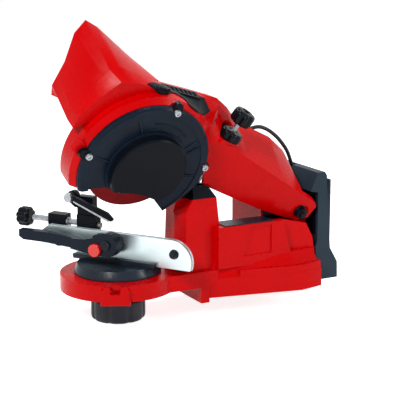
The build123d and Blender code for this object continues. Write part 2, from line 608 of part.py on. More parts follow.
with BuildPart() as swivel_table:
    with BuildSketch(over(DISC_TOP_Z)):
        Circle(TABLE_R)
    extrude(amount=2.5)
    with BuildSketch(over(DISC_TOP_Z + 2.5)):
        Circle(TABLE_R)
    extrude(amount=TABLE_TOP_Z - DISC_TOP_Z - 2.5, taper=24)
    # tray along the bar
    with BuildSketch(over(TABLE_TOP_Z)):
        with Locations((-0.75, -(TRAY_NEAR_Q + TRAY_FAR_Q) / 2)):
            Rectangle(91.5, TRAY_NEAR_Q - TRAY_FAR_Q)
    extrude(amount=TRAY_TOP_Z - TABLE_TOP_Z)
    with BuildSketch(over(BAR_BOTTOM_Z)):
        Rectangle(92, 2 * (PLATE_FACE + FIT))
        with Locations((0, 0)):
            Rectangle(100, 2 * (PLATE_FACE + FIT))
    extrude(amount=10, mode=Mode.SUBTRACT)
    # stud bore with the pocket of its square head
    with BuildSketch(over(DISC_TOP_Z)):
        Circle(STUD_R + FIT)
    extrude(amount=20, mode=Mode.SUBTRACT)
    with BuildSketch(over(TABLE_TOP_Z - 6)):
        Rectangle(16 + 2 * FIT, 16 + 2 * FIT)
    extrude(amount=20, mode=Mode.SUBTRACT)
save(swivel_table, "swivel_table")

with BuildPart() as clamp_stud:
    with BuildSketch(over(TABLE_TOP_Z - 6)):
        Rectangle(16, 16)
    extrude(amount=6)
    with BuildSketch(over(KNOB_BOTTOM_Z + 6)):
        Circle(STUD_R)
    extrude(amount=TABLE_TOP_Z - 6 - KNOB_BOTTOM_Z - 6)
save(clamp_stud, "clamp_stud")

with BuildPart() as clamp_washer:
    with BuildSketch(over(DISC_BOTTOM_Z - 2.5)):
        Circle(12)
        Circle(STUD_R + FIT, mode=Mode.SUBTRACT)
    extrude(amount=2.5)
save(clamp_washer, "clamp_washer")

with BuildPart() as clamp_knob:
    with BuildSketch(over(KNOB_BOTTOM_Z)):
        Circle(KNOB_R)
        with PolarLocations(KNOB_R + 5, 8):
            Circle(7.5, mode=Mode.SUBTRACT)
    extrude(amount=22)
    with BuildSketch(over(KNOB_BOTTOM_Z + 22)):
        Circle(16)
    extrude(amount=DISC_BOTTOM_Z - 2.5 - KNOB_BOTTOM_Z - 22)
    with BuildSketch(over(KNOB_BOTTOM_Z)):
        Circle(STUD_R + FIT)
    extrude(amount=40, mode=Mode.SUBTRACT)
save(clamp_knob, "clamp_knob")

for side, plate_name in ((1, "guide_plate_near"), (-1, "guide_plate_far")):
    inner = BAR_GAP / 2 if side > 0 else -PLATE_FACE
    with BuildPart() as guide_plate:
        with BuildSketch(beside(inner)):
            with BuildLine():
                Polyline((BAR_RIGHT - 22, BAR_TOP_Z), (BAR_LEFT + 8, BAR_TOP_Z), (BAR_LEFT, BAR_TOP_Z - 6),
                         (BAR_LEFT, BAR_BOTTOM_Z + 8), (BAR_LEFT + 4, BAR_BOTTOM_Z),
                         (BAR_RIGHT, BAR_BOTTOM_Z))
                TangentArc((BAR_RIGHT, BAR_BOTTOM_Z), (BAR_RIGHT - 22, BAR_TOP_Z), tangent=(0.35, 1))
            make_face()
            with Locations(*BOLT_SPOTS):
                Circle(BOLT_R + FIT, mode=Mode.SUBTRACT)
        extrude(amount=BAR_T)
    save(guide_plate, plate_name)

with BuildPart() as plate_bolts:
    for spot in BOLT_SPOTS:
        with BuildSketch(beside(-PLATE_FACE - 4)):
            with Locations(spot):
                Circle(BOLT_R)
        extrude(amount=2 * PLATE_FACE + 4.5)
        with BuildSketch(beside(PLATE_FACE)):
            with Locations(spot):
                Circle(5)
        extrude(amount=3, taper=20)
        with BuildSketch(beside(-PLATE_FACE - 3.5)):
            with Locations(spot):
                RegularPolygon(5.5, 6)
        extrude(amount=3.5)
save(plate_bolts, "plate_bolts")

with BuildPart() as clamp_lever:
    with BuildSketch(beside(LEVER_IN)):
        with Locations((HUB_P, HUB_Z)):
            Circle(12)
        outline([(-14, 50), (-2, 46.6), (6, 70), (-14, 67)])
        outline([(-10, 66), (-12, 47), (-40, 51), (-70, 53), (-98, 53), (-103, 56), (-103, 63), (-70, 63.5),
                 (-40, 61.5), (-24, 62)])
    extrude(amount=LEVER_OUT - LEVER_IN)
    with BuildSketch(beside(PLATE_FACE + GAP)):
        with Locations((HUB_P, HUB_Z)):
            Circle(9)
    extrude(amount=LEVER_IN - PLATE_FACE - GAP)
    with BuildSketch(beside(LEVER_OUT - 3)):
        outline([(-40, 61.5), (-40, 51), (-70, 53), (-98, 53), (-103, 56), (-103, 63), (-70, 63.5)])
    extrude(amount=6, mode=Mode.SUBTRACT)
    with BuildSketch(beside(LEVER_IN + 2.5)):
        with Locations((BUTTON_P, BUTTON_Z)):
            Circle(BUTTON_R + FIT)
    extrude(amount=20, mode=Mode.SUBTRACT)
    with BuildSketch(beside(PLATE_FACE)):
        with Locations((HUB_P, HUB_Z)):
            Circle(LEVER_PIN_R + FIT)
    extrude(amount=30, mode=Mode.SUBTRACT)
save(clamp_lever, "clamp_lever")

with BuildPart() as lever_pin:
    with BuildSketch(beside(PLATE_FACE)):
        with Locations((HUB_P, HUB_Z)):
            Circle(LEVER_PIN_R)
    extrude(amount=LEVER_OUT + GAP - PLATE_FACE)
    with BuildSketch(beside(LEVER_OUT + GAP)):
        with Locations((HUB_P, HUB_Z)):
            Circle(LEVER_PIN_R + 1)
    extrude(amount=1.2)
save(lever_pin, "lever_pin")

with BuildPart() as release_button:
    with BuildSketch(beside(LEVER_OUT - 4)):
        with Locations((BUTTON_P, BUTTON_Z)):
            Circle(BUTTON_R)
    extrude(amount=8)
save(release_button, "release_button")

with BuildPart() as button_spring:
    with BuildSketch(beside(LEVER_IN + 2.5)):
        with Locations((BUTTON_P, BUTTON_Z)):
            Circle(4)
            Circle(3, mode=Mode.SUBTRACT)
    extrude(amount=LEVER_OUT - LEVER_IN - 6.5 - BUTTON_TRAVEL - 0.2)
save(button_spring, "button_spring")

with BuildPart() as screw_block:
    with BuildSketch(beside(-15)):
        outline([(BLOCK_P0, 60), (BLOCK_P1, 60), (BLOCK_P1, 77), (BLOCK_P0, 77)])
    extrude(amount=15 - PLATE_FACE)
    with BuildSketch(across(BLOCK_P0)):
        with Locations((-SCREW_Q, SCREW_Z)):
            Circle(SCREW_R + FIT)
    extrude(amount=BLOCK_P1 - BLOCK_P0, mode=Mode.SUBTRACT)
save(screw_block, "screw_block")

with BuildPart() as adjusting_screw:
    with BuildSketch(across(-104)):
        with Locations((-SCREW_Q, SCREW_Z)):
            Circle(SCREW_R)
    extrude(amount=104 + SLIDE_P1 + 3)
    # collars on both sides of the block keep the screw in place
    for distance in (BLOCK_P0 - 2 - FIT, BLOCK_P1 + FIT):
        with BuildSketch(across(distance)):
            with Locations((-SCREW_Q, SCREW_Z)):
                Circle(SCREW_R + 1.5)
        extrude(amount=2)
save(adjusting_screw, "adjusting_screw")

with BuildPart() as adjusting_knob:
    with BuildSketch(across(-121)):
        with Locations((-SCREW_Q, SCREW_Z)):
            Circle(10)
            with PolarLocations(11.5, 8):
                Circle(2.6, mode=Mode.SUBTRACT)
    extrude(amount=13)
    with BuildSketch(across(-108)):
        with Locations((-SCREW_Q, SCREW_Z)):
            Circle(7)
    extrude(amount=4)
save(adjusting_knob, "adjusting_knob")

with BuildPart() as stop_slide:
    with BuildSketch(beside(-14)):
        outline([(SLIDE_P0, 62), (SLIDE_P1, 62), (SLIDE_P1, 78), (SLIDE_P1 - 4, 84), (SLIDE_P1 - 4, 98),
                 (SLIDE_P0, 98)])
    extrude(amount=14 - PLATE_FACE - 0.05)
    with BuildSketch(beside(-9)):
        outline([(SLIDE_P0 + 2, 84), (SLIDE_P0 + 2, 98), (PAWL_P - 3, 102), (PAWL_P - 5, 92)])
        with Locations((PAWL_P, PAWL_Z)):
            Circle(6)
    extrude(amount=6)
    with BuildSketch(across(SLIDE_P0 - 1)):
        with Locations((-SCREW_Q, SCREW_Z)):
            Circle(SCREW_R + FIT)
    extrude(amount=SLIDE_P1 - SLIDE_P0 + 2, mode=Mode.SUBTRACT)
    with BuildSketch(beside(-10)):
        with Locations((PAWL_P, PAWL_Z)):
            Circle(PAWL_SCREW_R + FIT)
    extrude(amount=10, mode=Mode.SUBTRACT)
    # the upper part stands clear of the pawl
    with BuildSketch(beside(-5)):
        outline([(SLIDE_P0 - 1, 79), (SLIDE_P1 + 1, 79), (SLIDE_P1 + 1, 99), (SLIDE_P0 - 1, 99)])
    extrude(amount=3, mode=Mode.SUBTRACT)
save(stop_slide, "stop_slide")

pawl_run = sqrt((PAWL_TIP_P - PAWL_P) ** 2 + (PAWL_TIP_Z - PAWL_Z) ** 2)
pawl_along = ((PAWL_TIP_P - PAWL_P) / pawl_run, (PAWL_TIP_Z - PAWL_Z) / pawl_run)


def on_pawl(distance, rise):
    """Point beside the pawl's centre line, as p and z of the vice."""
    return (PAWL_P + distance * pawl_along[0] - rise * pawl_along[1],
            PAWL_Z + distance * pawl_along[1] + rise * pawl_along[0])


with BuildPart() as pawl_arm:
    with BuildSketch(beside(-0.5)):
        outline([on_pawl(0, 3.5), on_pawl(pawl_run - 8, 4.5), on_pawl(pawl_run, 1), on_pawl(pawl_run - 1, -2),
                 on_pawl(0, -1)])
        with Locations((PAWL_P, PAWL_Z)):
            Circle(5)
            Circle(PAWL_SCREW_R + FIT, mode=Mode.SUBTRACT)
    extrude(amount=4)
save(pawl_arm, "pawl_arm")

with BuildPart() as pawl_strip:
    with BuildSketch(beside(-0.3)):
        outline([on_pawl(5.3, -1.2), on_pawl(pawl_run - 2, -2.1), on_pawl(pawl_run - 5, -4),
                 on_pawl(6, -2.8)])
    extrude(amount=3)
save(pawl_strip, "pawl_strip")

with BuildPart() as pawl_screw:
    with BuildSketch(beside(-9)):
        with Locations((PAWL_P, PAWL_Z)):
            Circle(PAWL_SCREW_R)
    extrude(amount=12.7)
    with BuildSketch(beside(3.7)):
        with Locations((PAWL_P, PAWL_Z)):
            Circle(5)
    extrude(amount=2.5, taper=15)
save(pawl_screw, "pawl_screw")

with BuildPart() as pawl_spring:
    with BuildSketch(beside(-2.8)):
        with Locations((PAWL_P, PAWL_Z)):
            Circle(5)
            Circle(PAWL_SCREW_R + 0.3, mode=Mode.SUBTRACT)
    extrude(amount=2)
save(pawl_spring, "pawl_spring")
# ================================================================ grinding head: housing and arm
# Top edge of the arm: distance along the arm, height of the near ridge, height of the top at the back.
ARM_TOP = along_arm([(73.5, 100.6, 135.5), (91.5, 97.1, 129), (105, 88.9, 117.5), (120.5, 79.5, 99.5),
                     (163.5, 52.8, 77), (185, 39.2, 58.5), (202.8, 28.1, 36)])
ARM_TIP = along_arm([(205, 23), (199, 9), (187.4, 5.5)])
ARM_UNDER = along_arm([(174.3, 9.2), (147.2, 18), (121.5, 29), (80, 47.7)])
ROOF_C = -20.0            # the arm's top is highest in this plane
CASE_LEFT = [(6.6, 51.3), (-20, 62), (-30, 85), (-52, 112)]
CASE_TOP = [(-8, 158), (26, 151), (67, 137.5)]
HANDLE_FRONT = [(-72, 40), (-68, 52), (-60, 62), (-50, 72), (-32, 86), (-22, 85), (-17, 84), (20, 74)]
HANDLE_BACK = [(-72, 40), (-73, 51), (-64, 76), (-62, 88), (-59, 106), (-50, 119), (-37, 111), (15, 66)]
HANDLE_BACK_C = -57.0
HOLDER_WAY = [(HINGE_A, 90), (HINGE_A, 36), (HINGE_A + 3, 28), (HINGE_A + 9, 21), (HINGE_A + 9, -30),
              (HINGE_A + 41, -30), (HINGE_A + 41, 90)]
RING_LEFT_B = -18.0       # lower ends of the housing ring, measured from the wheel's axis
RING_RIGHT_B = -8.0


def from_wheel(points):
    """Points measured from the wheel's axis, in the tilted frame."""
    return [(WHEEL_A + x, WHEEL_B + y) for x, y in points]


def parting_height(a, ridge, top):
    """Height of the arm's sloping top in the parting plane."""
    return top - (top - ridge) * (ROOF_C - ARM_PARTING) / (ROOF_C - arm_near(a))


def between(front, back, share):
    """Outline part of the way from one outline to another."""
    return [(x0 + (x1 - x0) * share, y0 + (y1 - y0) * share) for (x0, y0), (x1, y1) in zip(front, back)]


def shrunk(points, share=0.84):
    """Outline drawn in towards its middle."""
    middle_x = sum(x for x, y in points) / len(points)
    middle_y = sum(y for x, y in points) / len(points)
    return [(middle_x + (x - middle_x) * share, middle_y + (y - middle_y) * share) for x, y in points]


ridge_line = [(a, ridge) for a, ridge, top in ARM_TOP]
parting_line = [(a, parting_height(a, ridge, top)) for a, ridge, top in ARM_TOP]
back_line = [(a, top) for a, ridge, top in ARM_TOP]
handle_parting = between(HANDLE_FRONT, HANDLE_BACK, ARM_PARTING / HANDLE_BACK_C)
stop_rod = tilted_axis(STOP_TIP_A, STOP_TIP_B, STOP_HEAD_A, STOP_HEAD_B, STOP_C)
LOCK_SEAT = 57.2          # along the depth screw, from its tip to the seat of the lock knob
LOCK_T = 10.0
KNOB_SPOT = 76.0
STOP_LENGTH = 88.0
LOCK_R = 12.0

GUARD_SCREW_R = 1.6
GUARD_SCREW_AT = [((HOUSING_LIP_R - 2.6) * cos(radians(turn)), (HOUSING_LIP_R - 2.6) * sin(radians(turn)))
                  for turn in (161, 71, -4.5)]
GUARD_SCREW_L = 9.0       # depth of the screws in the ring
SWITCH_AT = (WHEEL_A - 39, WHEEL_B + 90)
SWITCH_W, SWITCH_H, SWITCH_DEPTH = 15.0, 20.0, 10.0
ROCKER_W = 9.0
ROCKER_HALF = 6.8
ROCKER_PIVOT = 4.0        # depth of the rocker's axis behind the handle's face
ROCKER_TILT = 7.0         # the rocker leans this much either way
TRUNNION_R = 1.5
LEAD_R = 2.0
SHELL_SCREW_R = 1.5
SHELL_SCREW_AT = [(40, 122), (66, 104), (104, 72), (150, 44)]
VENT_TOP = [(14, 153.8), (26, 151.4), (66, 138.2)]
VENT_T = 2.5
VENT_BACK, VENT_FRONT = -19.0, -8.0
vent_outline = VENT_TOP + [(a, b - VENT_T) for a, b in reversed(VENT_TOP)]
vent_cut = [(a, b + 3) for a, b in VENT_TOP] + [(a, b - VENT_T) for a, b in reversed(VENT_TOP)]

with BuildPart() as arm_shell_near:
    # housing ring round the wheel, with its bevelled rim
    with BuildSketch(tilted(HOUSING_BACK)):
        with Locations(WHEEL_AT):
            Circle(HOUSING_R)
    extrude(amount=HOUSING_BEVEL - HOUSING_BACK)
    with BuildSketch(tilted(HOUSING_BEVEL)):
        with Locations(WHEEL_AT):
            Circle(HOUSING_R)
    extrude(amount=HOUSING_FRONT - HOUSING_BEVEL, taper=45)
    # room of the wheel
    with BuildSketch(tilted(HOUSING_BACK + BACK_WALL)):
        with Locations(WHEEL_AT):
            Circle(POCKET_R)
    extrude(amount=HOUSING_FRONT - HOUSING_BACK, mode=Mode.SUBTRACT)
    # open below
    with BuildSketch(tilted(HOUSING_BACK)):
        outline([(-90, RING_LEFT_B), (-31, RING_LEFT_B), (-24, -24), (0, -31), (24, -24), (31, RING_RIGHT_B),
                 (90, RING_RIGHT_B), (90, -90), (-90, -90)], WHEEL_AT)
    extrude(amount=HOUSING_FRONT - HOUSING_BACK, mode=Mode.SUBTRACT)
    # roof between the ring and the casing behind it
    with BuildSketch(tilted(ARM_PARTING)):
        outline([(-14.6, 75.5), (19.4, 68.9), (60.4, 55.5), (85, 46), (75, 10), (19.4, 64),
                 (-14.6, 66)], WHEEL_AT)
    with BuildSketch(tilted(HOUSING_BEVEL)):
        outline([(-14.6, 70.6), (19.4, 69.4), (50, 52), (67, 25), (66, 12), (19.4, 64),
                 (-14.6, 66)], WHEEL_AT)
    loft(ruled=True)
    # arm
    with BuildSketch(tilted(ARM_PARTING)):
        outline(parting_line + ARM_TIP + ARM_UNDER)
    with BuildSketch(near_plane()):
        outline(on_near(ridge_line + ARM_TIP + ARM_UNDER))
    loft(ruled=True)
    # front part of the handle
    with BuildSketch(tilted(ARM_PARTING)):
        outline(handle_parting, WHEEL_AT)
    with BuildSketch(tilted(0)):
        outline(HANDLE_FRONT, WHEEL_AT)
    loft(ruled=True)
    # lug at the left end of the ring
    with BuildSketch(tilted(HOUSING_BEVEL)):
        outline([(-76, 26), (-66, 16), (-62, 28), (-69, 36)], WHEEL_AT)
    extrude(amount=HOUSING_FRONT - HOUSING_BEVEL)
    # hollow arm, open below
    with BuildSketch(tilted(ARM_PARTING)):
        outline(along_arm([(84, 114), (91.5, 117), (105, 105), (120.5, 90), (163.5, 69), (185, 52),
                           (200.5, 32), (200.5, -20), (84, -20)]))
    with BuildSketch(near_plane(SKIN)):
        outline(on_near(along_arm([(84, 92), (91.5, 91), (105, 84.5), (120.5, 75), (163.5, 49),
                                   (185, 35.5), (200.5, 25), (200.5, -20), (84, -20)]), SKIN))
    loft(ruled=True, mode=Mode.SUBTRACT)
    with BuildSketch(tilted(ARM_PARTING)):
        outline([(46, -20), (97, -20), (97, 70), (46, 70)])
    extrude(amount=arm_near(77) - SKIN - ARM_PARTING, mode=Mode.SUBTRACT)
    # clear of the holder when the head is raised
    with BuildSketch(tilted(ARM_PARTING)):
        outline(HOLDER_WAY)
    extrude(amount=NEAR_EAR_C + EAR_T + GAP - ARM_PARTING, mode=Mode.SUBTRACT)
    # boss of the depth screw, with the seat of its lock knob
    with BuildSketch(stop_rod.offset(LOCK_SEAT - 5)):
        with Locations((-0.5, 0)):
            Rectangle(17, 24)
    extrude(amount=5)
    with BuildSketch(stop_rod.offset(LOCK_SEAT - 18)):
        Circle(5.5)
    extrude(amount=14)
    with BuildSketch(stop_rod.offset(LOCK_SEAT)):
        Circle(LOCK_R + 1)
    extrude(amount=60, mode=Mode.SUBTRACT)
    with BuildSketch(stop_rod.offset(LOCK_SEAT - 20)):
        Circle(STOP_R + FIT)
    extrude(amount=40, mode=Mode.SUBTRACT)
    with BuildSketch(stop_rod):
        Circle(STOP_R + GAP)
    extrude(amount=LOCK_SEAT - 19, mode=Mode.SUBTRACT)
    # hub of the hinge on the inside, its bore, and the relief round the cap
    with BuildSketch(tilted(NEAR_EAR_C + EAR_T + GAP)):
        with Locations((HINGE_A, HINGE_B)):
            Circle(BUSH_R + 2.5)
    extrude(amount=arm_near(HINGE_A) - NEAR_EAR_C - EAR_T - GAP - 1)
    with BuildSketch(tilted(NEAR_EAR_C)):
        with Locations((HINGE_A, HINGE_B)):
            Circle(BUSH_R)
    extrude(amount=arm_near(HINGE_A) - NEAR_EAR_C - 0.9, mode=Mode.SUBTRACT)
    with BuildSketch(tilted(arm_near(HINGE_A) - 1)):
        with Locations((HINGE_A, HINGE_B)):
            Circle(9)
    extrude(amount=12, mode=Mode.SUBTRACT)
    # way of the shaft through the back wall
    with BuildSketch(tilted(HOUSING_BACK)):
        with Locations(WHEEL_AT):
            Circle(9)
    extrude(amount=BACK_WALL, mode=Mode.SUBTRACT)
    # holes of the guard's screws, and bosses of the shell screws
    with BuildSketch(tilted(HOUSING_FRONT - GUARD_SCREW_L)):
        with Locations(*from_wheel(GUARD_SCREW_AT)):
            Circle(GUARD_SCREW_R + FIT)
    extrude(amount=GUARD_SCREW_L, mode=Mode.SUBTRACT)
    for spot in SHELL_SCREW_AT[2:]:
        with BuildSketch(tilted(ARM_PARTING)):
            with Locations(spot):
                Circle(4)
        extrude(amount=arm_near(spot[0]) - SKIN - ARM_PARTING + 1)
    with BuildSketch(tilted(ARM_PARTING)):
        with Locations(*SHELL_SCREW_AT):
            Circle(SHELL_SCREW_R + FIT)
    extrude(amount=3, mode=Mode.SUBTRACT)
    # seat of the top vent
    with BuildSketch(tilted(ARM_PARTING)):
        outline(vent_cut)
    extrude(amount=VENT_FRONT - ARM_PARTING + FIT, mode=Mode.SUBTRACT)
save(arm_shell_near, "arm_shell_near")

with BuildPart() as arm_shell_far:
    with BuildSketch(tilted(ARM_PARTING)):
        outline(CASE_TOP + parting_line[1:] + ARM_TIP + ARM_UNDER + CASE_LEFT)
    with BuildSketch(tilted(ROOF_C)):
        outline(CASE_TOP + back_line[1:] + ARM_TIP + ARM_UNDER + CASE_LEFT)
    loft(ruled=True)
    with BuildSketch(tilted(ROOF_C)):
        outline(CASE_TOP + back_line[1:] + ARM_TIP + ARM_UNDER + CASE_LEFT)
    with BuildSketch(tilted(ARM_FAR_C)):
        outline([(x, y - 7) for x, y in CASE_TOP + back_line[1:-1]]
                + along_arm([(198, 30), (199, 22), (197, 10), (187.4, 7)]) + ARM_UNDER + CASE_LEFT)
    loft(ruled=True)
    with BuildSketch(tilted(ARM_PARTING)):
        outline(handle_parting, WHEEL_AT)
    with BuildSketch(tilted(HANDLE_BACK_C)):
        outline(HANDLE_BACK, WHEEL_AT)
    loft(ruled=True)
    # hollow handle
    with BuildSketch(tilted(ARM_PARTING)):
        outline(shrunk(handle_parting), WHEEL_AT)
    with BuildSketch(tilted(HANDLE_BACK_C + WALL)):
        outline(shrunk(HANDLE_BACK), WHEEL_AT)
    loft(ruled=True, mode=Mode.SUBTRACT)
    # hollow inside, open below at the hinge
    with BuildSketch(tilted(ARM_PARTING)):
        outline(along_arm([(-24, 84), (-46, 112), (-10, 150), (25, 144), (66, 130), (91.5, 117),
                           (105, 105), (120.5, 90), (163.5, 66), (184, 50), (200.5, 32), (200.5, -20),
                           (118, -20), (118, 36), (80, 51.5), (8, 55), (-16, 65)]))
    extrude(amount=ARM_FAR_C + SKIN - ARM_PARTING, mode=Mode.SUBTRACT)
    with BuildSketch(tilted(ARM_PARTING)):
        outline(HOLDER_WAY)
    extrude(amount=ARM_FAR_C - ARM_PARTING, mode=Mode.SUBTRACT)
    # barrel of the motor
    with BuildSketch(tilted(ARM_PARTING)):
        with Locations(WHEEL_AT):
            Circle(BARREL_R)
    extrude(amount=BARREL_REAR - ARM_PARTING)
    with BuildSketch(tilted(ARM_PARTING)):
        with Locations(WHEEL_AT):
            Circle(MOTOR_R + FIT)
    extrude(amount=BARREL_REAR - ARM_PARTING, mode=Mode.SUBTRACT)
    # hub of the far leg
    with BuildSketch(tilted(ARM_FAR_C)):
        with Locations((HINGE_A, HINGE_B)):
            Circle(BUSH_R + 2.5)
    extrude(amount=FAR_EAR_C - EAR_T - GAP - ARM_FAR_C)
    with BuildSketch(tilted(ARM_FAR_C + 0.5)):
        with Locations((HINGE_A, HINGE_B)):
            Circle(BUSH_R)
    extrude(amount=20, mode=Mode.SUBTRACT)
    with BuildSketch(tilted(ARM_FAR_C - 1)):
        with Locations((HINGE_A, HINGE_B)):
            Circle(PIN_R + FIT)
    extrude(amount=20, mode=Mode.SUBTRACT)
    # bosses of the shell screws
    with BuildSketch(tilted(ARM_PARTING)):
        with Locations(*SHELL_SCREW_AT):
            Circle(4)
    extrude(amount=ARM_FAR_C - ARM_PARTING)
    with BuildSketch(tilted(ARM_PARTING)):
        with Locations(*SHELL_SCREW_AT):
            Circle(SHELL_SCREW_R + FIT)
    extrude(amount=ARM_FAR_C - ARM_PARTING, mode=Mode.SUBTRACT)
    # seats of the top vent, the switch and the lead
    with BuildSketch(tilted(ARM_PARTING)):
        outline(vent_cut)
    extrude(amount=VENT_BACK - ARM_PARTING - FIT, mode=Mode.SUBTRACT)
    with BuildSketch(tilted(HANDLE_BACK_C)):
        with Locations(SWITCH_AT):
            Rectangle(SWITCH_W + 2 * FIT, SWITCH_H + 2 * FIT)
    extrude(amount=SWITCH_DEPTH, mode=Mode.SUBTRACT)
    with BuildSketch(Plane(origin=LEAD_POINTS[0], z_dir=Vector(*LEAD_POINTS[1]) - Vector(*LEAD_POINTS[0]))):
        Circle(LEAD_R + GAP)
    extrude(amount=20, mode=Mode.SUBTRACT)
save(arm_shell_far, "arm_shell_far")

with BuildPart() as top_vent:
    with BuildSketch(tilted(VENT_BACK)):
        outline(vent_outline)
    extrude(amount=VENT_FRONT - VENT_BACK)
    for slot in range(7):
        with BuildSketch(tilted(VENT_BACK + 2)):
            outline([(30 + slot * 5, 120), (32.5 + slot * 5, 120), (32.5 + slot * 5, 160),
                     (30 + slot * 5, 160)])
        extrude(amount=VENT_FRONT - VENT_BACK - 4, mode=Mode.SUBTRACT)
save(top_vent, "top_vent")

with BuildPart() as shell_screws:
    with BuildSketch(tilted(ARM_FAR_C)):
        with Locations(*SHELL_SCREW_AT):
            Circle(SHELL_SCREW_R)
    extrude(amount=ARM_PARTING - ARM_FAR_C + 2)
    with BuildSketch(tilted(ARM_FAR_C)):
        with Locations(*SHELL_SCREW_AT):
            Circle(3)
    extrude(amount=-2)
save(shell_screws, "shell_screws")

# rocker switch in the back of the handle
lean = radians(ROCKER_TILT)
switch_a, switch_b = SWITCH_AT
rocker_start = tilted_point(switch_a - ROCKER_W / 2, switch_b, HANDLE_BACK_C + ROCKER_PIVOT)
rocker_plane = Plane(origin=rocker_start, x_dir=cos(lean) * tilted().y_dir + sin(lean) * tilted().z_dir,
                     z_dir=(1, 0, 0))

with BuildPart() as switch_frame:
    with BuildSketch(tilted(HANDLE_BACK_C)):
        with Locations(SWITCH_AT):
            Rectangle(SWITCH_W, SWITCH_H)
    extrude(amount=SWITCH_DEPTH)
    with BuildSketch(tilted(HANDLE_BACK_C)):
        with Locations(SWITCH_AT):
            Rectangle(SWITCH_W + 3, SWITCH_H + 3)
    extrude(amount=-1.5)
    with BuildSketch(tilted(HANDLE_BACK_C - 1.5)):
        with Locations(SWITCH_AT):
            Rectangle(ROCKER_W + 2 * GAP, SWITCH_H - 4.4)
    extrude(amount=SWITCH_DEPTH - 0.5, mode=Mode.SUBTRACT)
    with BuildSketch(rocker_plane.offset(-1.5)):
        Circle(TRUNNION_R + FIT)
    extrude(amount=ROCKER_W + 3, mode=Mode.SUBTRACT)
save(switch_frame, "switch_frame")

with BuildPart() as power_rocker:
    with BuildSketch(rocker_plane):
        outline([(-ROCKER_HALF, -6.5), (0, -5), (ROCKER_HALF, -6.5), (ROCKER_HALF, -1.5), (2.5, 2.5),
                 (-2.5, 2.5), (-ROCKER_HALF, -1.5)])
    extrude(amount=ROCKER_W)
    with BuildSketch(rocker_plane.offset(-1.2)):
        Circle(TRUNNION_R)
    extrude(amount=ROCKER_W + 2.4)
save(power_rocker, "power_rocker")

# ================================================================ guard cover
GUARD_UNDER = [(-80, -19), (-27, -19), (-10, -23), (1, -27), (12.5, -33), (28.5, -53), (45.5, -41), (64, -21),
               (80, -21), (80, 80), (-80, 80)]
HUB_R = 36.0
HUB_UNDER = -24.0
GUARD_T = 6.0
OUTWARD = Axis((SWIVEL_X, 0, HEAD_Z), tuple(tilted().z_dir))

with BuildPart() as guard_cover:
    with BuildSketch(tilted(HOUSING_FRONT)):
        with Locations(WHEEL_AT):
            Circle(HOUSING_LIP_R)
        with BuildLine():
            Polyline(*from_wheel(GUARD_UNDER), close=True)
        make_face(mode=Mode.INTERSECT)
    extrude(amount=GUARD_T)
    rim = guard_cover.edges().filter_by(GeomType.CIRCLE).sort_by(OUTWARD)[-1]
    chamfer(rim, length=2.5)
    with BuildSketch(tilted(HOUSING_FRONT)):
        with Locations(*from_wheel(GUARD_SCREW_AT)):
            Circle(GUARD_SCREW_R + FIT)
    extrude(amount=GUARD_T, mode=Mode.SUBTRACT)
    # dish between the rim and the hub
    with BuildSketch(tilted(HOUSING_FRONT + 3.2)):
        with Locations(WHEEL_AT):
            Circle(58)
            Circle(HUB_R + 4, mode=Mode.SUBTRACT)
    extrude(amount=6, mode=Mode.SUBTRACT)
    # hub, cut straight below
    with BuildSketch(tilted(HOUSING_FRONT + 2)):
        with Locations(WHEEL_AT):
            Circle(HUB_R)
            with Locations((0, HUB_UNDER - 30)):
                Rectangle(100, 60, mode=Mode.SUBTRACT)
    extrude(amount=12, taper=18)
    with BuildSketch(tilted(HOUSING_FRONT - 1)):
        with Locations(WHEEL_AT):
            Circle(HUB_R - 4)
            with Locations((0, HUB_UNDER - 27)):
                Rectangle(100, 60, mode=Mode.SUBTRACT)
    extrude(amount=12, taper=18, mode=Mode.SUBTRACT)
save(guard_cover, "guard_cover")
with BuildPart() as guard_screws:
    with BuildSketch(tilted(HOUSING_FRONT - GUARD_SCREW_L)):
        with Locations(*from_wheel(GUARD_SCREW_AT)):
            Circle(GUARD_SCREW_R)
    extrude(amount=GUARD_SCREW_L + GUARD_T)
    with BuildSketch(tilted(HOUSING_FRONT + GUARD_T)):
        with Locations(*from_wheel(GUARD_SCREW_AT)):
            Circle(3.6)
    extrude(amount=2.2, taper=15)
save(guard_screws, "guard_screws")

# ================================================================ wheel and motor
FLANGE_T = 4.0
HALF_WHEEL = WHEEL_T / 2

with BuildPart() as grinding_wheel:
    with BuildSketch(tilted(-HALF_WHEEL)):
        with Locations(WHEEL_AT):
            Circle(WHEEL_R)
            Circle(WHEEL_BORE_R, mode=Mode.SUBTRACT)
    extrude(amount=WHEEL_T)
save(grinding_wheel, "grinding_wheel")

for side, flange_name in ((-1, "wheel_flange_inner"), (1, "wheel_flange_outer")):
    with BuildPart() as flange:
        with BuildSketch(tilted(HALF_WHEEL if side > 0 else -HALF_WHEEL - FLANGE_T)):
            with Locations(WHEEL_AT):
                Circle(FLANGE_R)
        extrude(amount=FLANGE_T)
        with BuildSketch(tilted(0.1 if side > 0 else -HALF_WHEEL)):
            with Locations(WHEEL_AT):
                Circle(WHEEL_BORE_R - FIT)
        extrude(amount=HALF_WHEEL - 0.1)
        with BuildSketch(tilted(-20)):
            with Locations(WHEEL_AT):
                Circle(SHAFT_R + FIT)
        extrude(amount=40, mode=Mode.SUBTRACT)
    save(flange, flange_name)

with BuildPart() as arbor_nut:
    with BuildSketch(tilted(HALF_WHEEL + FLANGE_T)):
        with Locations(WHEEL_AT):
            RegularPolygon(7.5, 6)
            Circle(SHAFT_R + FIT, mode=Mode.SUBTRACT)
    extrude(amount=5)
save(arbor_nut, "arbor_nut")

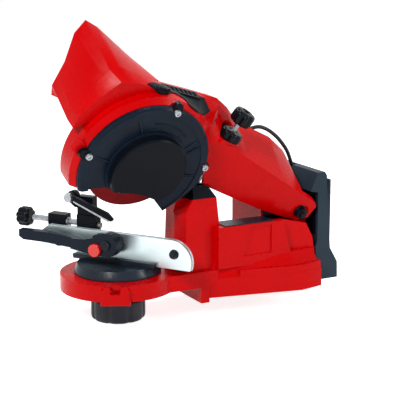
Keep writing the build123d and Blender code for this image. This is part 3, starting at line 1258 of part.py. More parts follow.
with BuildPart() as motor_shaft:
    with BuildSketch(tilted(MOTOR_REAR - 2)):
        with Locations(WHEEL_AT):
            Circle(SHAFT_R)
    extrude(amount=HALF_WHEEL + FLANGE_T + 7 - MOTOR_REAR)
save(motor_shaft, "motor_shaft")

ROTOR_R = 14.0
ROTOR_L = 22.0
with BuildPart() as motor_rotor:
    with BuildSketch(tilted(MOTOR_REAR + 12)):
        with Locations(WHEEL_AT):
            Circle(ROTOR_R)
            with PolarLocations(ROTOR_R, 8):
                Rectangle(3, 1.6, mode=Mode.SUBTRACT)
            Circle(SHAFT_R + FIT, mode=Mode.SUBTRACT)
    extrude(amount=ROTOR_L)
save(motor_rotor, "motor_rotor")

BEARING_R = 8.0
BEARING_T = 4.0
with BuildPart() as motor_can:
    with BuildSketch(tilted(MOTOR_REAR)):
        with Locations(WHEEL_AT):
            Circle(MOTOR_R)
    extrude(amount=MOTOR_FRONT - MOTOR_REAR)
    with BuildSketch(tilted(MOTOR_REAR)):
        with Locations(WHEEL_AT):
            Circle(MOTOR_R - 1.6)
    extrude(amount=MOTOR_FRONT - MOTOR_REAR - BEARING_T - 1, mode=Mode.SUBTRACT)
    with BuildSketch(tilted(MOTOR_FRONT - BEARING_T - 1)):
        with Locations(WHEEL_AT):
            Circle(BEARING_R)
    extrude(amount=BEARING_T, mode=Mode.SUBTRACT)
    with BuildSketch(tilted(MOTOR_FRONT - 2)):
        with Locations(WHEEL_AT):
            Circle(SHAFT_R + GAP)
    extrude(amount=2, mode=Mode.SUBTRACT)
save(motor_can, "motor_can")

with BuildPart() as motor_magnets:
    with BuildSketch(tilted(MOTOR_REAR + 12)):
        with Locations(WHEEL_AT):
            Circle(MOTOR_R - 1.6)
            Circle(ROTOR_R + GAP, mode=Mode.SUBTRACT)
            Rectangle(2 * MOTOR_R, 12, mode=Mode.SUBTRACT)
    extrude(amount=ROTOR_L)
save(motor_magnets, "motor_magnets")

with BuildPart() as motor_end_cap:
    with BuildSketch(tilted(MOTOR_REAR - 4)):
        with Locations(WHEEL_AT):
            Circle(MOTOR_R)
    extrude(amount=4)
    with BuildSketch(tilted(MOTOR_REAR)):
        with Locations(WHEEL_AT):
            Circle(MOTOR_R - 1.6)
    extrude(amount=BEARING_T + 1)
    with BuildSketch(tilted(MOTOR_REAR + 1)):
        with Locations(WHEEL_AT):
            Circle(BEARING_R)
    extrude(amount=BEARING_T, mode=Mode.SUBTRACT)
    with BuildSketch(tilted(MOTOR_REAR - 3)):
        with Locations(WHEEL_AT):
            Circle(SHAFT_R + GAP)
    extrude(amount=5, mode=Mode.SUBTRACT)
save(motor_end_cap, "motor_end_cap")

with BuildPart() as motor_bearings:
    for bearing_c in (MOTOR_REAR + 1, MOTOR_FRONT - BEARING_T - 1):
        with BuildSketch(tilted(bearing_c)):
            with Locations(WHEEL_AT):
                Circle(BEARING_R)
                Circle(SHAFT_R + FIT, mode=Mode.SUBTRACT)
        extrude(amount=BEARING_T)
save(motor_bearings, "motor_bearings")

with BuildPart() as rear_vent:
    with BuildSketch(tilted(BARREL_REAR)):
        with Locations(WHEEL_AT):
            Circle(BARREL_R)
    extrude(amount=-3)
    with BuildSketch(tilted(BARREL_REAR)):
        with Locations(WHEEL_AT):
            Circle(MOTOR_R)
    extrude(amount=MOTOR_REAR - 4 - BARREL_REAR)
    with BuildSketch(tilted(BARREL_REAR - 3)):
        with Locations(WHEEL_AT):
            with GridLocations(1, 6, 1, 5):
                Rectangle(24, 2.5)
    extrude(amount=8, mode=Mode.SUBTRACT)
save(rear_vent, "rear_vent")

# ================================================================ depth stop screw
with BuildPart() as depth_screw:
    with BuildSketch(stop_rod):
        Circle(STOP_R)
    extrude(amount=STOP_LENGTH)
save(depth_screw, "depth_screw")

with BuildPart() as depth_knob:
    with BuildSketch(stop_rod.offset(KNOB_SPOT)):
        Circle(11.5)
        with PolarLocations(13.2, 8):
            Circle(3, mode=Mode.SUBTRACT)
    extrude(amount=14)
    with BuildSketch(stop_rod.offset(KNOB_SPOT - 1)):
        Circle(STOP_R + FIT)
    extrude(amount=STOP_LENGTH - KNOB_SPOT + 1, mode=Mode.SUBTRACT)
save(depth_knob, "depth_knob")

with BuildPart() as lock_knob:
    with BuildSketch(stop_rod.offset(LOCK_SEAT)):
        Circle(LOCK_R)
        with PolarLocations(LOCK_R + 1.7, 8):
            Circle(3, mode=Mode.SUBTRACT)
    extrude(amount=LOCK_T)
    with BuildSketch(stop_rod.offset(LOCK_SEAT - 1)):
        Circle(STOP_R + FIT)
    extrude(amount=LOCK_T + 2, mode=Mode.SUBTRACT)
save(lock_knob, "lock_knob")

# ================================================================ lead
def bend_radii(points):
    """Radius at each inner point: 0.45 of the shorter run over the tangent of half the turn."""
    radii = []
    for before, here, after in zip(points, points[1:], points[2:]):
        run_in = Vector(*here) - Vector(*before)
        run_out = Vector(*after) - Vector(*here)
        half_turn = radians(run_in.get_angle(run_out)) / 2
        radii.append(0.45 * min(run_in.length, run_out.length) / tan(half_turn))
    return radii


lead_radii = bend_radii(LEAD_POINTS)
print("lead radii", [round(radius, 1) for radius in lead_radii])

with BuildPart() as motor_lead:
    with BuildLine() as lead_path:
        FilletPolyline(*LEAD_POINTS, radius=lead_radii)
    with BuildSketch(Plane(origin=lead_path.line @ 0, z_dir=lead_path.line % 0)):
        Circle(LEAD_R)
    sweep(path=lead_path.line)
print("lead volume", round(motor_lead.part.volume), "section times length",
      round(pi * LEAD_R ** 2 * sum(edge.length for edge in lead_path.line.edges())))
save(motor_lead, "motor_lead")
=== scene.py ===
"""Looks of a bench-edge sharpener for saw chains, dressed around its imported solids."""

import json
import logging
from collections.abc import Callable, Iterable, Sequence
from dataclasses import dataclass
from enum import Enum
from math import cos, pi, radians, sin

import bmesh
import bpy
from mathutils import Matrix, Vector
from mathutils.bvhtree import BVHTree


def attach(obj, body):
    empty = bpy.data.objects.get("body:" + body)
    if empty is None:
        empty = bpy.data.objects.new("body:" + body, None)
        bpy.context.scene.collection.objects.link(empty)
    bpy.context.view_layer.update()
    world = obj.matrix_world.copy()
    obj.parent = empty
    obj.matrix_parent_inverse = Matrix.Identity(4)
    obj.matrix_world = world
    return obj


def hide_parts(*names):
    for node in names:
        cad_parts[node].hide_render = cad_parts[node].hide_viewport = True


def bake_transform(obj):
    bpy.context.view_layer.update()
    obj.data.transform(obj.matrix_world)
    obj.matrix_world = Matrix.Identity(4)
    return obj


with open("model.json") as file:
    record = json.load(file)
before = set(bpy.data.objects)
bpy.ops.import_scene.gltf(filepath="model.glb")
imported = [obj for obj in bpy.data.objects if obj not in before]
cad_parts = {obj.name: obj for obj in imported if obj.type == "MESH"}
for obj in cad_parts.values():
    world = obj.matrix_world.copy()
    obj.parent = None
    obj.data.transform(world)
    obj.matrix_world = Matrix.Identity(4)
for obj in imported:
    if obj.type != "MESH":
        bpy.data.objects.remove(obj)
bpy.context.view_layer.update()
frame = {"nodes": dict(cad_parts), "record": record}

log = logging.getLogger("chain_sharpener")

Placing = Callable[[float, float, float], Vector]   # from millimetres to a point in metres
Corners = Sequence[tuple[float, float]]             # in millimetres

MM = 0.001
HEAD_TILT = radians(25)         # the head leans back by this much from upright
VICE_TURN = radians(35)         # the vice rests at this end of its swivel
VICE_X = -145.0                 # swivel axis of the vice
HEAD_Z = 73.0                   # height of the tilted frame's origin
WHEEL_A, WHEEL_B = 6.6, 81.3    # wheel's axis in the tilted frame
SOLID_WELD = 2e-6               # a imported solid's loose triangles meet within this many metres
TUBE_WELD = 1e-6                # and so do the caps of a tube
TURN_WELD = 1e-7                # and the middle of a turned piece
ONE_FACE = radians(0.7)         # neighbours that differ by less than this are one flat face
CREASE = radians(28)            # an edge sharper than this gets a radius
SOFT_EDGE = 40.0                # degrees up to which a rounded piece is shaded smooth
NOISE_LOW, NOISE_HIGH = 0.3, 0.7    # a noise texture hardly leaves this range
BRICK_ROW = 0.25                # height of a row in a brick texture's own units


# ---------------------------------------------------------------- places

def tilted(a: float, b: float, c: float) -> Vector:
    """Gives a point of the head's tilted frame as a point of the part.

    Args:
        a: Millimetres along the arm, from the vice's axis.
        b: Millimetres up the tilted plane.
        c: Millimetres in front of that plane.

    Returns:
        The point in metres.
    """
    y = -sin(HEAD_TILT) * b - cos(HEAD_TILT) * c
    z = HEAD_Z + cos(HEAD_TILT) * b - sin(HEAD_TILT) * c
    return Vector((VICE_X + a, y, z)) * MM


def on_wheel(x: float, y: float, c: float) -> Vector:
    """Gives a point measured from the wheel's axis, in metres."""
    return tilted(WHEEL_A + x, WHEEL_B + y, c)


def along_vice(p: float, z: float, q: float) -> Vector:
    """Gives a point of the vice's frame as a point of the part.

    Args:
        p: Millimetres along the chain bar, towards its rounded end.
        z: Millimetres above the bench.
        q: Millimetres towards the lever's side.

    Returns:
        The point in metres.
    """
    x = VICE_X + sin(VICE_TURN) * p - cos(VICE_TURN) * q
    y = -cos(VICE_TURN) * p - sin(VICE_TURN) * q
    return Vector((x, y, z)) * MM


HEAD_FRONT = (tilted(0, 0, 1) - tilted(0, 0, 0)).normalized()
HEAD_UP = (tilted(0, 1, 0) - tilted(0, 0, 0)).normalized()


# ---------------------------------------------------------------- finishes

def linear(code: str) -> tuple[float, float, float, float]:
    """Turns an sRGB hex value into a linear colour.

    Args:
        code: Six hex digits after a hash sign.

    Returns:
        Linear red, green, blue and an alpha of one.
    """
    parts = [int(code[i:i + 2], 16) / 255 for i in (1, 3, 5)]
    lit = [v / 12.92 if v <= 0.04045 else ((v + 0.055) / 1.055) ** 2.4 for v in parts]
    return (lit[0], lit[1], lit[2], 1.0)


def per_metre(size_mm: float) -> float:
    """Gives the scale at which a pattern's step has a real size."""
    return 1 / (size_mm * MM)


def add_node(tree: bpy.types.NodeTree, kind: str, settings: dict[str, object] | None = None,
             sockets: dict[str | int, object] | None = None) -> bpy.types.Node:
    """Adds a node with its settings and links.

    Args:
        tree: The tree that it goes in.
        kind: The node's type.
        settings: Attributes of the node.
        sockets: Inputs by name or number, each a value or the output that feeds it.

    Returns:
        The new node.
    """
    node = tree.nodes.new(kind)
    for key, value in (settings or {}).items():
        setattr(node, key, value)
    for key, value in (sockets or {}).items():
        if isinstance(value, bpy.types.NodeSocket):
            tree.links.new(value, node.inputs[key])
        else:
            node.inputs[key].default_value = value
    return node


@dataclass(frozen=True)
class Surface:
    """A new material's shader, and the place that its patterns read."""

    tree: bpy.types.NodeTree
    shader: bpy.types.Node
    place: bpy.types.NodeSocket

    def feed(self, socket: str, source: bpy.types.NodeSocket) -> None:
        """Lets an output drive one of the shader's sockets."""
        self.tree.links.new(source, self.shader.inputs[socket])

    def keep(self, socket: str, value: float) -> None:
        """Gives one of the shader's sockets a value that is the same all over."""
        self.shader.inputs[socket].default_value = value


class Finish:
    """A surface of the object. Each kind adds its own nodes to the shader."""

    name: str
    colour: str

    def make(self) -> bpy.types.Material:
        """Makes the material, and lets the kind of finish add its nodes.

        Returns:
            The new material.
        """
        material = bpy.data.materials.new(self.name)
        material.use_nodes = True
        tree = material.node_tree
        shader = tree.nodes["Principled BSDF"]
        shader.inputs["Base Color"].default_value = linear(self.colour)
        place = add_node(tree, "ShaderNodeTexCoord").outputs["Object"]
        self.work(Surface(tree, shader, place))
        return material

    def work(self, surface: Surface) -> None:
        """Adds the finish's own nodes."""
        raise NotImplementedError


@dataclass(frozen=True)
class MouldedPlastic(Finish):
    """Plastic from a steel mould, with the mould's fine spark-eroded grain."""

    name: str
    colour: str
    worn: str                    # the same plastic where hands and dust have dulled it
    rough: float
    spec: float
    coat: float = 0.0
    coat_rough: float = 0.12
    grain_mm: float = 0.9        # real grain is about 0.1 mm, drawn coarser so that it shows
    grain_depth_mm: float = 0.03
    worn_mm: float = 38.0        # width of the areas that hands have dulled
    gloss_mm: float = 5.0        # width of the uneven patches of gloss

    def work(self, surface: Surface) -> None:
        """Adds grain, slow changes of gloss and a trace of wear.

        Args:
            surface: The shader to work on.
        """
        tree, place = surface.tree, surface.place
        grain = add_node(tree, "ShaderNodeTexNoise", sockets={
            "Vector": place, "Scale": per_metre(self.grain_mm), "Detail": 2.0})
        bump = add_node(tree, "ShaderNodeBump", sockets={
            "Strength": 0.5, "Distance": self.grain_depth_mm * MM, "Height": grain.outputs["Fac"]})
        worn = add_node(tree, "ShaderNodeTexNoise", sockets={
            "Vector": place, "Scale": per_metre(self.worn_mm), "Detail": 3.0})
        share = add_node(tree, "ShaderNodeMapRange", sockets={
            "Value": worn.outputs["Fac"], "From Min": NOISE_LOW, "From Max": NOISE_HIGH})
        tone = add_node(tree, "ShaderNodeMix", {"data_type": "RGBA"}, {
            0: share.outputs["Result"], 6: linear(self.colour), 7: linear(self.worn)})
        patches = add_node(tree, "ShaderNodeTexNoise", sockets={
            "Vector": place, "Scale": per_metre(self.gloss_mm), "Detail": 5.0})
        gloss = add_node(tree, "ShaderNodeMapRange", sockets={
            "Value": patches.outputs["Fac"], "From Min": NOISE_LOW, "From Max": NOISE_HIGH,
            "To Min": self.rough - 0.04, "To Max": self.rough + 0.05})
        surface.feed("Base Color", tone.outputs[2])
        surface.feed("Roughness", gloss.outputs["Result"])
        surface.feed("Normal", bump.outputs["Normal"])
        surface.keep("Specular IOR Level", self.spec)
        surface.keep("Coat Weight", self.coat)
        surface.keep("Coat Roughness", self.coat_rough)


@dataclass(frozen=True)
class BrushedSteel(Finish):
    """Steel sheet with the lines that its belt left along the bar."""

    name: str
    colour: str
    shade: str
    rough: float
    stretch: tuple[float, float, float] = (0.04, 1.0, 1.0)  # draws the pattern out along the bar
    line_mm: float = 0.5         # real lines are about 0.05 mm, drawn coarser so that they show
    cloud_mm: float = 22.0       # width of the slow changes of gloss

    def work(self, surface: Surface) -> None:
        """Adds the brushed lines to colour, gloss and height.

        Args:
            surface: The shader to work on.
        """
        tree = surface.tree
        along = add_node(tree, "ShaderNodeMapping", sockets={
            "Vector": surface.place, "Rotation": (0, 0, pi / 2 - VICE_TURN),
            "Scale": self.stretch})
        lines = add_node(tree, "ShaderNodeTexNoise", sockets={
            "Vector": along.outputs["Vector"], "Scale": per_metre(self.line_mm), "Detail": 4.0})
        share = add_node(tree, "ShaderNodeMapRange", sockets={
            "Value": lines.outputs["Fac"], "From Min": NOISE_LOW, "From Max": NOISE_HIGH})
        tone = add_node(tree, "ShaderNodeMix", {"data_type": "RGBA"}, {
            0: share.outputs["Result"], 6: linear(self.colour), 7: linear(self.shade)})
        cloud = add_node(tree, "ShaderNodeTexNoise", sockets={
            "Vector": surface.place, "Scale": per_metre(self.cloud_mm), "Detail": 2.0})
        gloss = add_node(tree, "ShaderNodeMapRange", sockets={
            "Value": cloud.outputs["Fac"], "From Min": NOISE_LOW, "From Max": NOISE_HIGH,
            "To Min": self.rough - 0.06, "To Max": self.rough + 0.08})
        bump = add_node(tree, "ShaderNodeBump", sockets={
            "Strength": 0.1, "Distance": 0.01 * MM, "Height": lines.outputs["Fac"]})
        surface.feed("Base Color", tone.outputs[2])
        surface.feed("Roughness", gloss.outputs["Result"])
        surface.feed("Normal", bump.outputs["Normal"])
        surface.keep("Metallic", 1.0)


@dataclass(frozen=True)
class StainedMetal(Finish):
    """Plated, oxidised, turned or sintered metal, with slight stains on its surface."""

    name: str
    colour: str
    stain: str
    rough: float
    stain_mm: float = 3.5
    stain_start: float = 0.42    # noise value at which a stain starts
    stain_full: float = 0.72     # and at which it is darkest

    def work(self, surface: Surface) -> None:
        """Adds the stains and the uneven gloss of a bath or a hot surface.

        Args:
            surface: The shader to work on.
        """
        tree = surface.tree
        stains = add_node(tree, "ShaderNodeTexNoise", sockets={
            "Vector": surface.place, "Scale": per_metre(self.stain_mm), "Detail": 4.0})
        share = add_node(tree, "ShaderNodeMapRange", sockets={
            "Value": stains.outputs["Fac"], "From Min": self.stain_start,
            "From Max": self.stain_full})
        tone = add_node(tree, "ShaderNodeMix", {"data_type": "RGBA"}, {
            0: share.outputs["Result"], 6: linear(self.colour), 7: linear(self.stain)})
        gloss = add_node(tree, "ShaderNodeMapRange", sockets={
            "Value": stains.outputs["Fac"], "From Min": NOISE_LOW, "From Max": NOISE_HIGH,
            "To Min": self.rough, "To Max": self.rough + 0.12})
        surface.feed("Base Color", tone.outputs[2])
        surface.feed("Roughness", gloss.outputs["Result"])
        surface.keep("Metallic", 1.0)


@dataclass(frozen=True)
class BondedGrit(Finish):
    """Abrasive grains in coloured resin: dull, speckled and rough."""

    name: str
    colour: str
    grain: str
    grit_mm: float = 0.8         # real grains are about 0.2 mm, drawn coarser so that they show
    grit_depth_mm: float = 0.12

    def work(self, surface: Surface) -> None:
        """Adds the grains as cells of colour and height.

        Args:
            surface: The shader to work on.
        """
        tree = surface.tree
        cells = add_node(tree, "ShaderNodeTexVoronoi", sockets={
            "Vector": surface.place, "Scale": per_metre(self.grit_mm)}).outputs["Distance"]
        share = add_node(tree, "ShaderNodeMapRange", sockets={
            "Value": cells, "From Min": 0.1, "From Max": 0.7})
        tone = add_node(tree, "ShaderNodeMix", {"data_type": "RGBA"}, {
            0: share.outputs["Result"], 6: linear(self.grain), 7: linear(self.colour)})
        bump = add_node(tree, "ShaderNodeBump", sockets={
            "Strength": 0.8, "Distance": self.grit_depth_mm * MM, "Height": cells})
        surface.feed("Base Color", tone.outputs[2])
        surface.feed("Normal", bump.outputs["Normal"])
        surface.keep("Roughness", 0.85)
        surface.keep("Specular IOR Level", 0.25)


@dataclass(frozen=True)
class BoardLaminate(Finish):
    """Glass-fibre board under solder resist, with copper tracks that show as paler lines."""

    name: str
    colour: str
    track: str
    row_mm: float = 25 / 6       # the tracks are this far apart
    track_width: float = 0.03    # in the texture's own units

    def work(self, surface: Surface) -> None:
        """Adds straight tracks a few millimetres apart.

        Args:
            surface: The shader to work on.
        """
        tracks = add_node(surface.tree, "ShaderNodeTexBrick", sockets={
            "Vector": surface.place, "Scale": BRICK_ROW * per_metre(self.row_mm),
            "Mortar Size": self.track_width, "Color1": linear(self.colour),
            "Color2": linear(self.colour), "Mortar": linear(self.track)})
        surface.feed("Base Color", tracks.outputs["Color"])
        surface.keep("Roughness", 0.3)


class Palette(Enum):
    """The finishes of the object, named for the real materials."""

    # ABS with a satin gloss: deep red that lifts to pink only on bevels and corners
    RED_ABS = MouldedPlastic("abs_moulded_red", "#D20004", "#CA0004", rough=0.28, spec=0.09,
                             grain_mm=1.2, grain_depth_mm=0.003)
    # glass-filled nylon: blue-black, with a broad grey sheen on slopes that face the light
    GUARD_NYLON = MouldedPlastic("nylon_moulded_blue_black", "#121C29", "#172331", 0.28, 0.07)
    # nylon of the clamping lever: near-black navy, with broad soft highlights on its back
    LEVER_NYLON = MouldedPlastic("nylon_moulded_navy_black", "#0E1623", "#131D2B", 0.26, 0.10)
    # plain black ABS of small fittings: a neutral black with a weak shine
    BLACK_ABS = MouldedPlastic("abs_moulded_black", "#0A0D14", "#0D1119", 0.30, 0.06)
    # polypropylene of the battery holder: slate, with a soft even sheen
    SLATE_PP = MouldedPlastic("polypropylene_slate", "#1E2C37", "#243440", 0.42, 0.15)
    # nylon of the turning table: dark slate, shinier than the rest so that its rim stands out
    TABLE_NYLON = MouldedPlastic("nylon_moulded_slate", "#0F1924", "#16222F", 0.30, 0.25)
    # phenolic of the small knobs: near black, with small sharp lights on the lobes
    KNOB_PHENOLIC = MouldedPlastic("phenolic_moulded_black", "#080B11", "#0C1017", 0.22, 0.10)
    # grey polypropylene of the clamping knob: dull, paler than the black pieces
    GREY_PP = MouldedPlastic("polypropylene_dark_grey", "#22262E", "#2B3039", 0.42, 0.2)
    # bright ABS of the push button: polished, so that it catches the eye
    BUTTON_ABS = MouldedPlastic("abs_moulded_bright_red", "#E8180C", "#D9160B", 0.25, 0.5,
                                coat=0.2)
    # rolled steel of the guide plates: pale, cool, almost mirror bright along the bar
    PLATE_STEEL = BrushedSteel("steel_sheet_bright", "#D6E4E6", "#C4D4D7", 0.36)
    # zinc plate on screws and rods: cool silver with small stains
    ZINC_STEEL = StainedMetal("steel_zinc_plated", "#9EA2A6", "#7F8488", 0.28)
    # black oxide on bolts and springs: dark, with an oily shine
    OXIDE_STEEL = StainedMetal("steel_black_oxide", "#26272B", "#17181B", 0.3)
    # turned aluminium of the wheel's flanges: pale and soft in its shine
    FLANGE_ALUMINIUM = StainedMetal("aluminium_turned", "#C9CACB", "#B2B4B6", 0.32)
    # brass blades: warm yellow, slightly dulled
    BRASS = StainedMetal("brass_plain", "#CDA45A", "#A9813D", 0.25)
    # ferrite magnets: dark grey, matt
    FERRITE = StainedMetal("ferrite_sintered", "#3A3B3E", "#2E2F31", 0.6)
    # aluminium oxide in red resin: dark red, speckled, with no shine
    GRIT = BondedGrit("corundum_resin_bonded", "#7A0A10", "#A01A20")
    # solder resist over glass-fibre board: green with paler lines
    BOARD = BoardLaminate("fibre_board_green", "#0E4A22", "#2C7A44")
    # rubber sheath of the lead: black, dull
    SHEATH = MouldedPlastic("rubber_sheath_black", "#111214", "#191A1D", 0.55, 0.3)

    def material(self) -> bpy.types.Material:
        """Gives the finish's material, made once."""
        return bpy.data.materials.get(self.value.name) or self.value.make()


# ---------------------------------------------------------------- meshes

def as_object(name: str, data: bpy.types.ID) -> bpy.types.Object:
    """Puts a mesh, a curve, a lamp or a camera in the scene, at the origin.

    Args:
        name: The object's name.
        data: What it shows.

    Returns:
        The new object.
    """
    thing = bpy.data.objects.new(name, data)
    bpy.context.scene.collection.objects.link(thing)
    return thing


def as_made(name: str, made: bmesh.types.BMesh) -> bpy.types.Object:
    """Turns a bmesh into an object, with its faces as they are.

    Args:
        name: The object's name.
        made: The bmesh, which is freed.

    Returns:
        The new object.
    """
    mesh = bpy.data.meshes.new(name)
    made.to_mesh(mesh)
    made.free()
    return as_object(name, mesh)


def faced_out(name: str, made: bmesh.types.BMesh) -> bpy.types.Object:
    """Turns a bmesh into an object, with its faces outwards."""
    bmesh.ops.recalc_face_normals(made, faces=made.faces)
    return as_made(name, made)


def bake(thing: bpy.types.Object) -> None:
    """Gives an object the mesh that its modifiers make, and removes them.

    Args:
        thing: An object at the origin whose modifiers are complete.
    """
    bpy.context.view_layer.update()
    graph = bpy.context.evaluated_depsgraph_get()
    mesh = bpy.data.meshes.new_from_object(thing.evaluated_get(graph), depsgraph=graph)
    mesh.name = thing.name
    thing.modifiers.clear()
    thing.data = mesh


def shade(thing: bpy.types.Object, angle: float) -> None:
    """Shades a piece smooth, with flat faces flat and sharp edges crisp.

    Args:
        thing: The piece.
        angle: Degrees past which an edge stays crisp.
    """
    thing.data.polygons.foreach_set("use_smooth", [True] * len(thing.data.polygons))
    thing.data.set_sharp_from_angle(angle=radians(angle))
    weighted = thing.modifiers.new("flat_faces", "WEIGHTED_NORMAL")
    weighted.keep_sharp = True
    weighted.weight = 90        # large faces count for most, so that they look flat
    bake(thing)


def soften(thing: bpy.types.Object, edge_mm: float, segments: int) -> None:
    """Rounds the sharp edges of a piece.

    Args:
        thing: The piece.
        edge_mm: Width of the rounding.
        segments: Faces across it.
    """
    bevel = thing.modifiers.new("edges", "BEVEL")
    bevel.width = edge_mm * MM
    bevel.segments = segments
    bevel.limit_method = "ANGLE"
    bevel.angle_limit = CREASE
    bake(thing)
    shade(thing, SOFT_EDGE)


def dress(thing: bpy.types.Object, finish: Palette) -> None:
    """Gives the whole piece one finish.

    Args:
        thing: The piece.
        finish: Its finish.
    """
    thing.data.materials.clear()
    thing.data.materials.append(finish.material())
    thing.data.polygons.foreach_set("material_index", [0] * len(thing.data.polygons))


def fit(thing: bpy.types.Object, body: str, finish: Palette) -> None:
    """Dresses a new piece and lets it ride on a body.

    Args:
        thing: The piece.
        body: The body that carries it.
        finish: Its finish.
    """
    dress(thing, finish)
    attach(thing, body)
    log.info("piece %s rides on %s", thing.name, body)


def merged_copy(node: str, name: str) -> bpy.types.Object:
    """Copies a solid's loose triangles into one closed mesh with flat faces whole.

    Args:
        node: The solid's node.
        name: Name of the copy.

    Returns:
        The copy, at the origin.
    """
    made = bmesh.new()
    made.from_mesh(frame["nodes"][node].data)
    bmesh.ops.remove_doubles(made, verts=made.verts, dist=SOLID_WELD)
    bmesh.ops.dissolve_limit(made, angle_limit=ONE_FACE, verts=made.verts, edges=made.edges)
    return as_made(name, made)


def plate(name: str, outline: Corners, back: float, front: float,
          place: Placing = on_wheel) -> bpy.types.Object:
    """Extrudes an outline between two depths of a frame.

    Args:
        name: The piece's name.
        outline: Corners in order, in millimetres.
        back: Depth of the rear face.
        front: Depth of the front face.
        place: Turns a corner and a depth into a point.

    Returns:
        A closed prism.
    """
    made = bmesh.new()
    rear = [made.verts.new(place(x, y, back)) for x, y in outline]
    fore = [made.verts.new(place(x, y, front)) for x, y in outline]
    made.faces.new(rear)
    made.faces.new(fore)
    for i in range(len(outline)):
        k = (i + 1) % len(outline)
        made.faces.new((rear[i], rear[k], fore[k], fore[i]))
    return faced_out(name, made)


def turned(name: str, profile: Corners, steps: int, place: Placing,
           ripple: Callable[[float, int], float] | None = None) -> bpy.types.Object:
    """Turns a closed profile round an axis.

    Args:
        name: The piece's name.
        profile: Radius and depth of each corner of the section, in millimetres.
        steps: Number of steps in the turn.
        place: Turns x, y and depth into a point.
        ripple: Change of radius with the angle and the corner's number, if any.

    Returns:
        A closed solid of revolution.
    """
    made = bmesh.new()
    rings = []
    for step in range(steps):
        angle = 2 * pi * step / steps
        ring = []
        for index, (radius, depth) in enumerate(profile):
            r = radius + (ripple(angle, index) if ripple else 0.0)
            ring.append(made.verts.new(place(r * cos(angle), r * sin(angle), depth)))
        rings.append(ring)
    for step in range(steps):
        here, there = rings[step], rings[(step + 1) % steps]
        for i in range(len(profile)):
            k = (i + 1) % len(profile)
            made.faces.new((here[i], there[i], there[k], here[k]))
    bmesh.ops.remove_doubles(made, verts=made.verts, dist=TURN_WELD)
    return faced_out(name, made)


class Cut(Enum):
    """What a cutting piece leaves of the piece that it cuts."""

    INSIDE = "INTERSECT"
    OUTSIDE = "DIFFERENCE"


def carve(thing: bpy.types.Object, tool: bpy.types.Object, left: Cut) -> None:
    """Cuts a piece by another, which is then removed.

    Args:
        thing: The piece that stays.
        tool: The piece that cuts.
        left: The side of the tool on which the piece stays.
    """
    modifier = thing.modifiers.new("cut", "BOOLEAN")
    modifier.operation = left.value
    modifier.object = tool
    modifier.solver = "EXACT"
    bake(thing)
    bpy.data.objects.remove(tool)


# ---------------------------------------------------------------- geometry nodes

class NodeShape:
    """A Geometry Nodes tree with named inputs, and the mesh that it gives."""

    def __init__(self, name: str, sizes: dict[str, float | int]) -> None:
        """Starts a tree.

        Args:
            name: Name of the tree and of the piece that it makes.
            sizes: Named inputs and their values.
        """
        self.name = name
        self.sizes = sizes
        self.tree = bpy.data.node_groups.new(name, "GeometryNodeTree")
        self.socket("Geometry", "NodeSocketGeometry", "INPUT")
        self.socket("Geometry", "NodeSocketGeometry", "OUTPUT")
        kinds = {int: "NodeSocketInt", float: "NodeSocketFloat"}
        self.keys = {key: self.socket(key, kinds[type(value)], "INPUT")
                     for key, value in sizes.items()}
        self.material_key = self.socket("Material", "NodeSocketMaterial", "INPUT")
        self.given = add_node(self.tree, "NodeGroupInput").outputs

    def socket(self, name: str, kind: str, way: str) -> str:
        """Adds an input or output to the tree, and gives its identifier."""
        made = self.tree.interface.new_socket(name=name, in_out=way, socket_type=kind)
        return made.identifier

    def finish(self, shape: bpy.types.NodeSocket, finish: Palette,
               base: bpy.types.Mesh | None = None) -> bpy.types.Object:
        """Ends the tree, runs it and keeps the plain mesh.

        Args:
            shape: The output that holds the geometry.
            finish: The finish that Set Material gives.
            base: Points or edges that the tree works on, if any.

        Returns:
            An object at the origin with a plain mesh.
        """
        whole = add_node(self.tree, "GeometryNodeRealizeInstances", sockets={"Geometry": shape})
        painted = add_node(self.tree, "GeometryNodeSetMaterial", sockets={
            "Geometry": whole.outputs["Geometry"], "Material": self.given["Material"]})
        add_node(self.tree, "NodeGroupOutput", sockets={"Geometry": painted.outputs["Geometry"]})
        thing = as_object(self.name, base or bpy.data.meshes.new(self.name))
        modifier = thing.modifiers.new("shape", "NODES")
        modifier.node_group = self.tree
        for key, value in self.sizes.items():
            modifier[self.keys[key]] = value
        modifier[self.material_key] = finish.material()
        bake(thing)
        return thing


@dataclass
class Thread:
    """A screw thread along +Z from the origin. Sizes are in millimetres."""

    name: str
    length: float
    pitch: float
    core: float                  # radius of the ridge's centreline
    ridge: float                 # radius of the ridge
    steps: int = 20              # in each turn
    sides: int = 6               # of the ridge

    def build(self, finish: Palette) -> bpy.types.Object:
        """Makes the thread.

        Args:
            finish: Its finish.

        Returns:
            The thread as a plain mesh.
        """
        shape = NodeShape(self.name, {
            "Length": self.length * MM, "Turns": self.length / self.pitch,
            "Core": self.core * MM, "Ridge": self.ridge * MM, "Steps": self.steps})
        spiral = add_node(shape.tree, "GeometryNodeCurveSpiral", sockets={
            "Resolution": shape.given["Steps"], "Rotations": shape.given["Turns"],
            "Start Radius": shape.given["Core"], "End Radius": shape.given["Core"],
            "Height": shape.given["Length"]})
        ridge = add_node(shape.tree, "GeometryNodeCurvePrimitiveCircle", sockets={
            "Resolution": self.sides, "Radius": shape.given["Ridge"]})
        tube = add_node(shape.tree, "GeometryNodeCurveToMesh", sockets={
            "Curve": spiral.outputs["Curve"], "Profile Curve": ridge.outputs["Curve"],
            "Fill Caps": True})
        return shape.finish(tube.outputs["Mesh"], finish)


def lay_along(thing: bpy.types.Object, start: Vector, end: Vector) -> None:
    """Moves a mesh made along +Z so that it runs from start towards end."""
    turn = (end - start).to_track_quat("Z", "Y").to_matrix().to_4x4()
    thing.data.transform(Matrix.Translation(start) @ turn)


